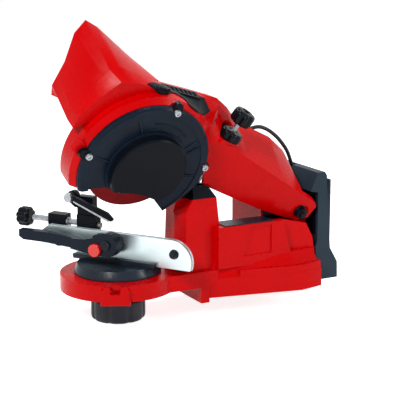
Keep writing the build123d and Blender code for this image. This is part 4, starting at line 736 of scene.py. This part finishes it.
@dataclass
class SocketTool:
    """Prisms that cut the sockets of screw heads. Sizes are in millimetres."""

    name: str
    inner: float                 # radius of the end inside the head
    outer: float                 # radius of the end outside it
    depth: float                 # length, half of it inside the head
    sides: int = 6

    def build(self, points: Sequence[Vector], outward: Vector, finish: Palette) -> bpy.types.Object:
        """Makes one prism at each point.

        Args:
            points: Middles of the prisms.
            outward: Direction out of the head.
            finish: Their finish.

        Returns:
            All the prisms as one plain mesh.
        """
        mesh = bpy.data.meshes.new(self.name)
        mesh.from_pydata([tuple(point) for point in points], [], [])
        directed = mesh.attributes.new("direction", "FLOAT_VECTOR", "POINT")
        for item in directed.data:
            item.vector = outward
        shape = NodeShape(self.name, {"Sides": self.sides, "Inner": self.inner * MM,
                                      "Outer": self.outer * MM, "Depth": self.depth * MM})
        prism = add_node(shape.tree, "GeometryNodeMeshCone", sockets={
            "Vertices": shape.given["Sides"], "Radius Top": shape.given["Outer"],
            "Radius Bottom": shape.given["Inner"], "Depth": shape.given["Depth"]})
        centred = add_node(shape.tree, "GeometryNodeTransform", sockets={
            "Geometry": prism.outputs["Mesh"], "Translation": (0, 0, -self.depth * MM / 2)})
        way = add_node(shape.tree, "GeometryNodeInputNamedAttribute",
                       {"data_type": "FLOAT_VECTOR"}, {"Name": "direction"})
        turn = add_node(shape.tree, "FunctionNodeAlignRotationToVector", {"axis": "Z"}, {
            "Vector": way.outputs["Attribute"]})
        spots = add_node(shape.tree, "GeometryNodeInstanceOnPoints", sockets={
            "Points": shape.given["Geometry"], "Instance": centred.outputs["Geometry"],
            "Rotation": turn.outputs["Rotation"]})
        return shape.finish(spots.outputs["Instances"], finish, mesh)


@dataclass
class Ridge:
    """Ridges of one section along lines. Sizes are in millimetres."""

    name: str
    radius: float                # half width of the ridge
    sides: int

    def build(self, lines: Iterable[Sequence[Vector]], finish: Palette) -> bpy.types.Object:
        """Sweeps the section along the lines.

        Args:
            lines: Each line as its points.
            finish: Its finish.

        Returns:
            All the ridges as one plain mesh.
        """
        points, edges = [], []
        for line in lines:
            start = len(points)
            points.extend(tuple(point) for point in line)
            edges.extend((start + i, start + i + 1) for i in range(len(line) - 1))
        path = bpy.data.meshes.new(self.name)
        path.from_pydata(points, edges, [])
        shape = NodeShape(self.name, {"Half Width": self.radius * MM, "Sides": self.sides})
        curve = add_node(shape.tree, "GeometryNodeMeshToCurve", sockets={
            "Mesh": shape.given["Geometry"]})
        section = add_node(shape.tree, "GeometryNodeCurvePrimitiveCircle", sockets={
            "Resolution": shape.given["Sides"], "Radius": shape.given["Half Width"]})
        ridge = add_node(shape.tree, "GeometryNodeCurveToMesh", sockets={
            "Curve": curve.outputs["Curve"], "Profile Curve": section.outputs["Curve"],
            "Fill Caps": True})
        return shape.finish(ridge.outputs["Mesh"], finish, path)


# ---------------------------------------------------------------- studio

def seen_directly(tree: bpy.types.NodeTree) -> bpy.types.NodeSocket:
    """Finds what the eye, a reflection or a clear piece shows of the background.

    Args:
        tree: The tree that asks.

    Returns:
        A socket that is one for such a ray, and zero for the light on the object.
    """
    path = add_node(tree, "ShaderNodeLightPath").outputs
    mirrored = add_node(tree, "ShaderNodeMath", {"operation": "MAXIMUM"}, {
        0: path["Is Glossy Ray"], 1: path["Is Transmission Ray"]})
    return add_node(tree, "ShaderNodeMath", {"operation": "MAXIMUM"}, {
        0: path["Is Camera Ray"], 1: mirrored.outputs[0]}).outputs[0]


@dataclass
class Studio:
    """White floor and background, soft lamps and the camera. Lengths are in metres."""

    aim: tuple[float, float, float] = (-0.0528, 0.0, 0.0898)
    back: tuple[float, float, float] = (-0.45817, -0.86169, 0.21814)    # from the aim to the camera
    distance: float = 1.315
    lens: float = 117.0          # millimetres, on a sensor of the width below
    sensor: float = 36.0
    sky: tuple[float, float, float, float] = (0.93, 0.96, 1.0, 1.0)
    sky_light: float = 0.14      # on the object, while the eye sees white
    floor_z: float = -0.0205
    floor_half: float = 4.0
    floor_lift: float = 0.85     # whitens the floor to the eye, and keeps the shadow
    lamps: tuple[tuple[str, tuple[float, float, float], float, float], ...] = (
        ("key_lamp", (-1.3, -0.9, 1.3), 0.4, 24),
        ("side_lamp", (1.3, -1.2, 0.7), 0.35, 12),
        ("top_lamp", (0.0, 0.5, 1.6), 0.5, 14))

    def camera(self) -> None:
        """Makes the camera."""
        data = bpy.data.cameras.new("camera")
        data.lens = self.lens
        data.sensor_width = self.sensor
        camera = as_object("camera", data)
        way = Vector(self.back).normalized()
        camera.location = Vector(self.aim) + way * self.distance
        camera.rotation_euler = (-way).to_track_quat("-Z", "Y").to_euler()
        bpy.context.scene.camera = camera

    def world(self) -> None:
        """Makes a world that is white to the eye and soft on the object."""
        world = bpy.data.worlds.new("world")
        world.use_nodes = True
        tree = world.node_tree
        tree.nodes.clear()
        soft = add_node(tree, "ShaderNodeBackground", sockets={
            "Color": self.sky, "Strength": self.sky_light})
        white = add_node(tree, "ShaderNodeBackground", sockets={
            "Color": (1.0, 1.0, 1.0, 1.0), "Strength": 1.0})
        mixed = add_node(tree, "ShaderNodeMixShader", sockets={
            0: seen_directly(tree), 1: soft.outputs[0], 2: white.outputs[0]})
        add_node(tree, "ShaderNodeOutputWorld", sockets={"Surface": mixed.outputs[0]})
        bpy.context.scene.world = world

    def lamp(self, name: str, place: tuple[float, float, float], size: float,
             watts: float) -> None:
        """Adds a square soft box that looks at the object.

        Args:
            name: Name of the lamp.
            place: Where it stands.
            size: Its side.
            watts: Its power.
        """
        data = bpy.data.lights.new(name, "AREA")
        data.size = size
        data.energy = watts
        lamp = as_object(name, data)
        lamp.location = place
        way = Vector(self.aim) - Vector(place)
        lamp.rotation_euler = way.to_track_quat("-Z", "Y").to_euler()

    def floor(self) -> None:
        """Makes the floor, white to the eye, with the object's shadow kept."""
        made = bmesh.new()
        bmesh.ops.create_grid(made, x_segments=1, y_segments=1, size=self.floor_half)
        bmesh.ops.translate(made, verts=made.verts, vec=(0, 0, self.floor_z))
        floor = as_made("floor", made)
        material = bpy.data.materials.new("paper_backdrop_white")
        material.use_nodes = True
        tree = material.node_tree
        shader = tree.nodes["Principled BSDF"]
        shader.inputs["Base Color"].default_value = linear("#F4F4F4")
        shader.inputs["Roughness"].default_value = 0.9
        shader.inputs["Specular IOR Level"].default_value = 0.1
        shader.inputs["Emission Color"].default_value = (1, 1, 1, 1)
        lift = add_node(tree, "ShaderNodeMath", {"operation": "MULTIPLY"}, {
            0: seen_directly(tree), 1: self.floor_lift})
        tree.links.new(lift.outputs[0], shader.inputs["Emission Strength"])
        floor.data.materials.append(material)

    def build(self) -> None:
        """Sets the whole studio up."""
        self.camera()
        self.world()
        self.floor()
        for lamp in self.lamps:
            self.lamp(*lamp)
        bpy.context.scene.view_settings.view_transform = "Standard"
        log.info("studio is set")


# ---------------------------------------------------------------- common pieces

@dataclass
class MouldedNode:
    """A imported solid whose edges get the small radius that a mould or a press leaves."""

    node: str
    body: str
    slot: str
    finish: Palette
    edge_mm: float
    segments: int = 2

    def build(self) -> None:
        """Makes the rounded copy that stands for the solid."""
        thing = merged_copy(self.node, self.node + "_moulded")
        soften(thing, self.edge_mm, self.segments)
        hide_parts(self.node)
        fit(thing, self.body, self.finish)


@dataclass
class GripKnob:
    """A small knob with rolled edges and finger grooves. Sizes are in millimetres."""

    node: str
    body: str
    place: Placing
    radius: float
    low: float                   # ends of the knob along its axis
    high: float
    bore: float
    groove: float                # depth of a finger groove
    roll: float                  # radius of the rolled edges
    lobes: int = 8
    narrow: int = 4              # the higher, the narrower the grooves
    steps: int = 160
    roll_steps: int = 5
    face_step: float = 0.7       # depth of the dimple in its face

    def section(self) -> list[tuple[float, float, float]]:
        """Works out the knob's section.

        Returns:
            Radius, depth and share of the groove for each corner.
        """
        points = [(self.bore, self.low, 0.0)]
        middle = self.radius - self.roll
        for depth, first, last in ((self.low + self.roll, -90, 0), (self.high - self.roll, 0, 90)):
            for step in range(self.roll_steps + 1):
                turn = radians(first + (last - first) * step / self.roll_steps)
                points.append((middle + self.roll * cos(turn), depth + self.roll * sin(turn),
                               0.25 + 0.75 * cos(turn)))
        points.append((self.radius * 0.45, self.high, 0.0))
        points.append((self.radius * 0.4, self.high - self.face_step, 0.0))
        points.append((self.bore, self.high - self.face_step, 0.0))
        return points

    def build(self) -> None:
        """Makes the knob in place of its solid."""
        section = self.section()

        def step_in(angle: float, index: int) -> float:
            """Gives how the radius changes at an angle: less than zero in a groove."""
            lobe = abs(cos(angle * self.lobes / 2)) ** self.narrow
            return -self.groove * section[index][2] * lobe

        profile = [(radius, depth) for radius, depth, _ in section]
        thing = turned(self.node + "_grip", profile, self.steps, self.place, step_in)
        shade(thing, angle=38)
        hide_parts(self.node)
        fit(thing, self.body, Palette.KNOB_PHENOLIC)


# ---------------------------------------------------------------- the object

@dataclass
class Base:
    """The foot with its post, deck and ring, the hinge and the battery holder.

    Sizes are in millimetres.
    """

    tab_turn: float = -116.6     # degrees round the ring
    tab_drop: float = 2.4        # the tab reaches this far below the ring
    tab_rise: float = 0.3        # and this far above it
    notch_depth: float = 7.5
    ring_radius: float = 57.0
    ring_bottom: float = 12.0
    ring_top: float = 28.0

    def build(self) -> None:
        """Dresses the base's solids."""
        for node, slot, finish, edge_mm in (
                ("base_body", "red_housing", Palette.RED_ABS, 1.1),
                ("stop_post_cap", "black_plastic", Palette.BLACK_ABS, 1.0),
                ("battery_holder", "holder_slate", Palette.SLATE_PP, 1.0),
                ("hinge_bracket", "black_plastic", Palette.BLACK_ABS, 0.8),
                ("deck_strip", "black_plastic", Palette.TABLE_NYLON, 0.3),
                ("hinge_cap", "black_plastic", Palette.BLACK_ABS, 0.8)):
            MouldedNode(node, "base", slot, finish, edge_mm).build()
        self.tab()

    def tab(self) -> None:
        """Adds the flared index tab with its notch in front of the ring's rim."""
        turn = radians(self.tab_turn)
        outward = Vector((cos(turn), sin(turn), 0))
        sideways = Vector((-sin(turn), cos(turn), 0))

        def on_rim(across: float, z: float, out: float) -> Vector:
            """Gives a point in front of the rim."""
            middle = Vector((VICE_X, 0, z)) + outward * (self.ring_radius + out)
            return (middle + sideways * across) * MM

        low, high = self.ring_bottom - self.tab_drop, self.ring_top + self.tab_rise
        notch = high - self.notch_depth
        half = [(14.6, low), (12.6, high - 3), (10.4, high), (5.4, high), (4.6, notch)]
        outline = half + [(-across, z) for across, z in reversed(half)]
        tab = plate("index_tab", outline, back=-3.0, front=3.4, place=on_rim)
        soften(tab, edge_mm=0.9, segments=3)
        fit(tab, "base", Palette.RED_ABS)


@dataclass
class Vice:
    """The swivelling vice that holds the chain. Sizes are in millimetres."""

    screw_height: float = 69.4   # of the adjusting screw's axis
    screw_side: float = -9.0
    knob_radius: float = 27.0    # of the clamping knob
    knob_bottom: float = -20.0
    knob_height: float = 22.0
    knob_lobes: int = 8
    knob_steps: int = 192
    knob_bore: float = 5.1
    seat_radius: float = 16.0    # of the recess in its upper face
    seat_floor: float = 9.5
    groove_depth: float = 1.3
    groove_narrow: int = 14      # the higher, the narrower the grooves

    def build(self) -> None:
        """Dresses the vice's solids."""
        for piece in (
                MouldedNode("swivel_table", "vice", "black_plastic", Palette.TABLE_NYLON,
                            edge_mm=0.8),
                MouldedNode("guide_plate_near", "vice", "plate_steel", Palette.PLATE_STEEL,
                            edge_mm=0.3),
                MouldedNode("guide_plate_far", "vice", "plate_steel", Palette.PLATE_STEEL,
                            edge_mm=0.3),
                MouldedNode("clamp_lever", "clamp_lever", "black_plastic", Palette.LEVER_NYLON,
                            edge_mm=2.2, segments=4),
                MouldedNode("release_button", "release_button", "button_red", Palette.BUTTON_ABS,
                            edge_mm=0.6),
                GripKnob("adjusting_knob", "adjusting_screw", self.on_screw, radius=10.0,
                         low=-121.0, high=-107.3, bore=0.01, groove=1.8, roll=3.2),
                MouldedNode("stop_slide", "stop_slide", "black_plastic", Palette.BLACK_ABS,
                            edge_mm=0.6),
                MouldedNode("pawl_arm", "pawl", "black_plastic", Palette.BLACK_ABS, edge_mm=0.6),
                MouldedNode("screw_block", "vice", "black_plastic", Palette.BLACK_ABS,
                            edge_mm=0.6),
                MouldedNode("plate_bolts", "vice", "dark_steel", Palette.OXIDE_STEEL,
                            edge_mm=0.9, segments=3)):
            piece.build()
        dress(frame["nodes"]["lever_pin"], Palette.OXIDE_STEEL)
        self.knob()

    def on_screw(self, x: float, y: float, depth: float) -> Vector:
        """Gives a point beside the adjusting screw's axis."""
        return along_vice(depth, self.screw_height + y, self.screw_side + x)

    def knob(self) -> None:
        """Makes the clamping knob: a wide drum with narrow finger grooves and rolled edges."""
        low, high = self.knob_bottom, self.knob_bottom + self.knob_height
        full = self.knob_radius
        lower = [(self.knob_bore, low), (full - 5, low)]
        rim = [(full - 2, low + 0.6), (full - 0.6, low + 2), (full, low + 4.5),
               (full, high - 4), (full - 0.6, high - 1.8), (full - 2.2, high - 0.5)]
        upper = [(full - 5, high), (self.seat_radius, high), (self.seat_radius, self.seat_floor),
                 (self.knob_bore, self.seat_floor)]
        grooved = range(len(lower), len(lower) + len(rim))

        def step_in(angle: float, index: int) -> float:
            """Gives how the radius changes at an angle: less than zero in a groove."""
            lobe = abs(cos(angle * self.knob_lobes / 2)) ** self.groove_narrow
            return -self.groove_depth * lobe if index in grooved else 0.0

        def round_stud(x: float, y: float, z: float) -> Vector:
            """Gives a point beside the swivel axis."""
            return Vector((VICE_X + x, y, z)) * MM

        knob = turned("clamp_knob_drum", lower + rim + upper, self.knob_steps, round_stud, step_in)
        shade(knob, angle=30)
        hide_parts("clamp_knob")
        fit(knob, "clamp_knob", Palette.GREY_PP)


@dataclass
class Head:
    """The hinged arm with the motor, its air inlet and the depth stop. Sizes are in millimetres."""

    inlay_proud: float = 0.7
    inlay_wall: float = 1.4
    inlay_step: float = 1.3      # side of a square of its mesh
    inlay_reach: float = 90.0    # length that the squares cover
    inlay_foot: float = 90.0     # height at which they start
    inlay_rounds: int = 8        # of smoothing
    inlay_outline: tuple[tuple[float, float], ...] = (
        (3.5, 160.4), (8.3, 162.8), (67.2, 142.0), (78.0, 124.0), (72.5, 118.6), (63.5, 122.2),
        (55.5, 128.4), (46.2, 139.7), (37.0, 145.8), (31.0, 148.6), (27.9, 145.2), (19.5, 146.2))
    inlay_way: tuple[float, float, float] = (0.45817, 0.86169, -0.21814)    # it is laid along this
    stand_off_m: float = 0.12    # rays start this many metres in front of the outline
    ray_length_m: float = 0.3
    rod_tip: tuple[float, float, float] = (74.6, 45.2, 4.0)
    rod_seat: tuple[float, float, float] = (110.2, 120.8, 4.0)
    thread_start: float = 1.0

    def build(self) -> None:
        """Dresses the arm's solids."""
        for piece in (
                MouldedNode("arm_shell_near", "head", "red_housing", Palette.RED_ABS,
                            edge_mm=1.4, segments=3),
                MouldedNode("arm_shell_far", "head", "red_housing", Palette.RED_ABS,
                            edge_mm=1.4, segments=3),
                GripKnob("depth_knob", "depth_knob", self.on_rod, radius=11.5, low=76.0,
                         high=90.0, bore=2.6, groove=1.9, roll=4.2),
                GripKnob("lock_knob", "lock_knob", self.on_rod, radius=12.0, low=57.2,
                         high=67.2, bore=2.6, groove=1.9, roll=3.2)):
            piece.build()
        self.inlay()
        self.thread()

    def on_rod(self, x: float, y: float, depth: float) -> Vector:
        """Gives a point beside the depth screw.

        Args:
            x: Millimetres to the front of its axis.
            y: Millimetres to the side.
            depth: Millimetres from its tip.

        Returns:
            The point in metres.
        """
        tip = tilted(*self.rod_tip)
        along = (tilted(*self.rod_seat) - tip).normalized()
        return tip + (HEAD_FRONT * x + along.cross(HEAD_FRONT) * y + along * depth) * MM

    def skin(self) -> BVHTree:
        """Gives the outer surface of both shells, for rays to meet.

        Returns:
            A tree of the shells' faces.
        """
        made = bmesh.new()
        for name in ("arm_shell_near_moulded", "arm_shell_far_moulded"):
            made.from_mesh(bpy.data.objects[name].data)
        skin = BVHTree.FromBMesh(made)
        made.free()
        return skin

    def inlay_sheet(self) -> bmesh.types.BMesh:
        """Makes the inlay's outline as a flat sheet, cut into small squares.

        Returns:
            The sheet, not yet laid on the shells.
        """
        sheet = bmesh.new()
        sheet.faces.new([sheet.verts.new(tilted(a, b, -5)) for a, b in self.inlay_outline])
        for cut in range(int(self.inlay_reach / self.inlay_step)):
            for normal, start in (
                    (Vector((1, 0, 0)), tilted(cut * self.inlay_step, 0, 0)),
                    (HEAD_UP, tilted(0, self.inlay_foot + cut * self.inlay_step, 0))):
                bmesh.ops.bisect_plane(sheet, geom=sheet.verts[:] + sheet.edges[:] + sheet.faces[:],
                                       plane_co=start, plane_no=normal)
        return sheet

    def inlay(self) -> None:
        """Lays the black air inlet over the shoulder, between the casing and the arm."""
        skin, sheet = self.skin(), self.inlay_sheet()
        way = Vector(self.inlay_way).normalized()

        def met(vert: bmesh.types.BMVert) -> Vector | None:
            """Gives the point of the shells that lies behind a vertex, if any."""
            return skin.ray_cast(vert.co - way * self.stand_off_m, way, self.ray_length_m)[0]

        lost = []
        for vert in sheet.verts:
            hit = met(vert)
            if hit is None:
                lost.append(vert)
            else:
                vert.co = hit - way * self.inlay_proud * MM
        bmesh.ops.delete(sheet, geom=lost, context="VERTS")
        for _ in range(self.inlay_rounds):
            bmesh.ops.smooth_vert(sheet, verts=sheet.verts, factor=0.5, use_axis_x=True,
                                  use_axis_y=True, use_axis_z=True)
        for vert in sheet.verts:
            hit = met(vert)
            if hit is not None:
                buried = (vert.co - hit).dot(way) + self.inlay_proud * MM
                vert.co -= way * max(0.0, buried)
        thing = as_made("shoulder_inlay", sheet)
        wall = thing.modifiers.new("wall", "SOLIDIFY")
        wall.thickness = self.inlay_wall * MM
        wall.offset = 0.0
        bake(thing)
        shade(thing, angle=30)
        fit(thing, "head", Palette.BLACK_ABS)

    def thread(self) -> None:
        """Adds the thread of the depth screw."""
        thread = Thread("depth_screw_thread", length=74.0, pitch=1.5, core=2.42,
                        ridge=0.3).build(Palette.ZINC_STEEL)
        lay_along(thread, self.on_rod(0, 0, self.thread_start), tilted(*self.rod_seat))
        fit(thread, "depth_screw", Palette.ZINC_STEEL)


@dataclass
class Lead:
    """The short lead from the arm to the battery holder. The real lead bends as the arm swings;
    this one keeps one shape.
    """

    radius: float = 2.0          # millimetres
    length: float = 0.097        # metres
    route: tuple[tuple[float, float, float], ...] = (
        (-4, -6.5, 158.3), (7, -8.5, 162.3), (21, -4.5, 158.3), (36, 1, 149), (49, 6.5, 137.5),
        (59.5, 11.5, 125), (66, 14.5, 109))

    def curve(self, name: str, radius: float) -> bpy.types.Mesh:
        """Makes the lead's smooth line, or a tube round it.

        Args:
            name: Name of the curve.
            radius: Radius of the tube in millimetres, or zero for the line.

        Returns:
            The mesh of the line or of the tube.
        """
        data = bpy.data.curves.new(name, "CURVE")
        data.dimensions = "3D"
        spline = data.splines.new("NURBS")
        spline.points.add(len(self.route) - 1)
        for point, place in zip(spline.points, self.route):
            point.co = (*(Vector(place) * MM), 1.0)
        spline.order_u = 3
        spline.use_endpoint_u = True
        spline.resolution_u = 8
        data.bevel_depth = radius * MM
        data.bevel_resolution = 4
        data.use_fill_caps = True
        thing = as_object(name, data)
        bpy.context.view_layer.update()
        mesh = bpy.data.meshes.new_from_object(thing)
        bpy.data.objects.remove(thing)
        return mesh

    def build(self) -> None:
        """Makes the lead as one fixed tube along its route, in place of its solid."""
        path = [tuple(vert.co) for vert in self.curve("lead_line", 0.0).vertices]
        made = bmesh.new()
        made.from_mesh(self.curve("lead_tube", self.radius))
        bmesh.ops.remove_doubles(made, verts=made.verts, dist=TUBE_WELD)
        lead = faced_out("motor_lead_sheath", made)
        shade(lead, angle=50)
        dress(lead, Palette.SHEATH)
        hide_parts("motor_lead")
        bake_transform(lead)
        log.info("piece %s bends between base and head", lead.name)


@dataclass(frozen=True)
class Lug:
    """A lug on the guard's rim that a screw passes through. Sizes are in millimetres."""

    turn: float                  # degrees round the wheel's axis
    reach: float                 # from the axis to the middle of its round end
    radius: float


@dataclass
class Guard:
    """The cover over the wheel, with its dish, hub, ribs, ledges and lugs.

    Sizes are in millimetres, measured from the wheel's axis and in front of its plane.
    """

    rim: float = 64.3
    turn_steps: int = 144
    hub_radius: float = 37.0
    hub_face: float = 27.2
    hub_shift: tuple[float, float] = (1.5, -1.0)
    rib_radius: float = 1.15
    rib_depths: tuple[float, float] = (18.2, 17.6)      # at its outer and its inner end
    ribs: tuple[tuple[tuple[float, float], tuple[float, float]], ...] = (
        ((-18.5, 61.0), (-7.8, 34.0)), ((-56.5, 19.5), (-35.0, 10.2)),
        ((57.0, 30.5), (39.5, 17.5)), ((58.5, 22.0), (42.5, 12.0)), ((62.5, -15.7), (41.0, -12.5)))
    ledge_radius: float = 0.8
    ledge_steps: int = 16
    ledges: tuple[tuple[float, float, float, float], ...] = (   # radius, first, last angle, depth
        (43.0, 38, 96, 17.2), (49.0, 40, 88, 17.6))
    lugs: tuple[Lug, ...] = (Lug(161, 68.9, 5.6), Lug(71, 68.9, 5.6), Lug(-4.5, 66.0, 4.6))
    lug_root: float = 62.6
    lug_taper: float = 0.85      # width of its round end, as a share of its root
    lug_back: float = 12.6
    lug_front: float = 18.4
    lug_steps: int = 24
    screw_circle: float = 64.4
    screw_face: float = 21.9
    under: tuple[tuple[float, float], ...] = (          # what the guard's lower edge leaves
        (-80, -17.8), (-27.2, -17.8), (-9.6, -21.8), (1.4, -25.9), (13.2, -32), (28.8, -51.2),
        (44.9, -39.9), (63.6, -19.9), (80, -19.9), (80, 80), (-80, 80))

    def build(self) -> None:
        """Dresses the guard's solid and adds its relief."""
        MouldedNode("guard_cover", "head", "guard_black", Palette.GUARD_NYLON,
                    edge_mm=0.8).build()
        self.dish()
        self.hub()
        self.relief()
        self.all_lugs()
        self.screws()

    def dish(self) -> None:
        """Makes the cone between rim and hub, which slopes inwards to catch the light."""
        profile = [(30, 15.8), (self.rim + 0.6, 15.8), (self.rim + 0.6, 19.2), (self.rim, 19.3),
                   (self.rim - 1.2, 18.9), (52, 17.4), (30, 16.4)]
        cone = turned("guard_dish", profile, self.turn_steps, on_wheel)
        carve(cone, plate("dish_edge", self.under, back=10, front=30), Cut.INSIDE)
        shade(cone, angle=25)
        fit(cone, "head", Palette.GUARD_NYLON)

    def hub(self) -> None:
        """Makes the raised hub, round above and cut off along the guard's lower edge."""
        wall, face = self.hub_radius, self.hub_face
        profile = [(0.01, 15), (wall + 2.6, 15), (wall + 1.2, face - 1.6), (wall - 0.2, face),
                   (0.01, face)]

        def on_hub(x: float, y: float, c: float) -> Vector:
            """Gives a point measured from the hub's middle."""
            return on_wheel(x + self.hub_shift[0], y + self.hub_shift[1], c)

        hub = turned("guard_hub", profile, self.turn_steps, on_hub)
        carve(hub, plate("hub_edge", self.under, back=5, front=40), Cut.INSIDE)
        soften(hub, edge_mm=0.8, segments=3)
        fit(hub, "head", Palette.BLACK_ABS)

    def relief(self) -> None:
        """Adds the ribs from rim to hub and the curved ledges above the hub."""
        outer, inner = self.rib_depths
        ribs = [[on_wheel(*start, outer), on_wheel(*end, inner)] for start, end in self.ribs]
        ledges = []
        for radius, first, last, depth in self.ledges:
            turns = [radians(first + (last - first) * i / self.ledge_steps)
                     for i in range(self.ledge_steps + 1)]
            ledges.append([on_wheel(radius * cos(t), radius * sin(t), depth) for t in turns])
        for ridge, lines in ((Ridge("guard_ribs", self.rib_radius, 4), ribs),
                             (Ridge("guard_ledges", self.ledge_radius, 6), ledges)):
            fit(ridge.build(lines, Palette.GUARD_NYLON), "head",
                Palette.GUARD_NYLON)

    def all_lugs(self) -> None:
        """Adds the lugs that the guard's screws pass through."""
        for index, lug in enumerate(self.lugs):
            t = radians(lug.turn)
            points = []
            for middle, radius, first in ((lug.reach, lug.radius * self.lug_taper, -90),
                                          (self.lug_root, lug.radius, 90)):
                for step in range(self.lug_steps + 1):
                    side = radians(first + 180 * step / self.lug_steps)
                    points.append((middle * cos(t) + radius * cos(t + side),
                                   middle * sin(t) + radius * sin(t + side)))
            piece = plate(f"guard_lug_{index + 1}", points, self.lug_back, self.lug_front)
            soften(piece, edge_mm=0.9, segments=3)
            fit(piece, "head", Palette.BLACK_ABS)

    def screws(self) -> None:
        """Gives the guard's screws domed heads with sockets."""
        turns = [radians(lug.turn) for lug in self.lugs]
        spots = [on_wheel(self.screw_circle * cos(t), self.screw_circle * sin(t), self.screw_face)
                 for t in turns]
        heads = merged_copy("guard_screws", "guard_screws_cut")
        tool = SocketTool("sockets", inner=1.9, outer=1.7, depth=3.0)
        carve(heads, tool.build(spots, HEAD_FRONT, Palette.ZINC_STEEL), Cut.OUTSIDE)
        shade(heads, angle=35)
        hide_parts("guard_screws")
        fit(heads, "head", Palette.ZINC_STEEL)


SLOT_FINISH = {
    "red_housing": Palette.RED_ABS, "black_plastic": Palette.BLACK_ABS,
    "guard_black": Palette.GUARD_NYLON, "holder_slate": Palette.SLATE_PP,
    "knob_black": Palette.KNOB_PHENOLIC, "knob_grey": Palette.GREY_PP,
    "button_red": Palette.BUTTON_ABS, "plate_steel": Palette.PLATE_STEEL,
    "bright_steel": Palette.ZINC_STEEL, "dark_steel": Palette.OXIDE_STEEL,
    "wheel_grit": Palette.GRIT, "brass": Palette.BRASS, "board_green": Palette.BOARD,
    "magnet_grey": Palette.FERRITE, "aluminium": Palette.FLANGE_ALUMINIUM,
    "lead_black": Palette.SHEATH}


def dress_solids() -> None:
    """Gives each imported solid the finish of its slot."""
    for row in frame["record"]["subparts"]:
        finish = SLOT_FINISH[row["material_slot"]]
        dress(frame["nodes"][row["node"]], finish)
        log.info("solid %s is dressed in %s", row["node"], finish.value.name)


def main() -> None:
    """Builds the object and its studio."""
    logging.basicConfig(level=logging.INFO)
    Studio().build()
    dress_solids()
    for part in (Base(), Vice(), Head(), Guard(), Lead()):
        part.build()


if __name__ == "__main__":
    main()
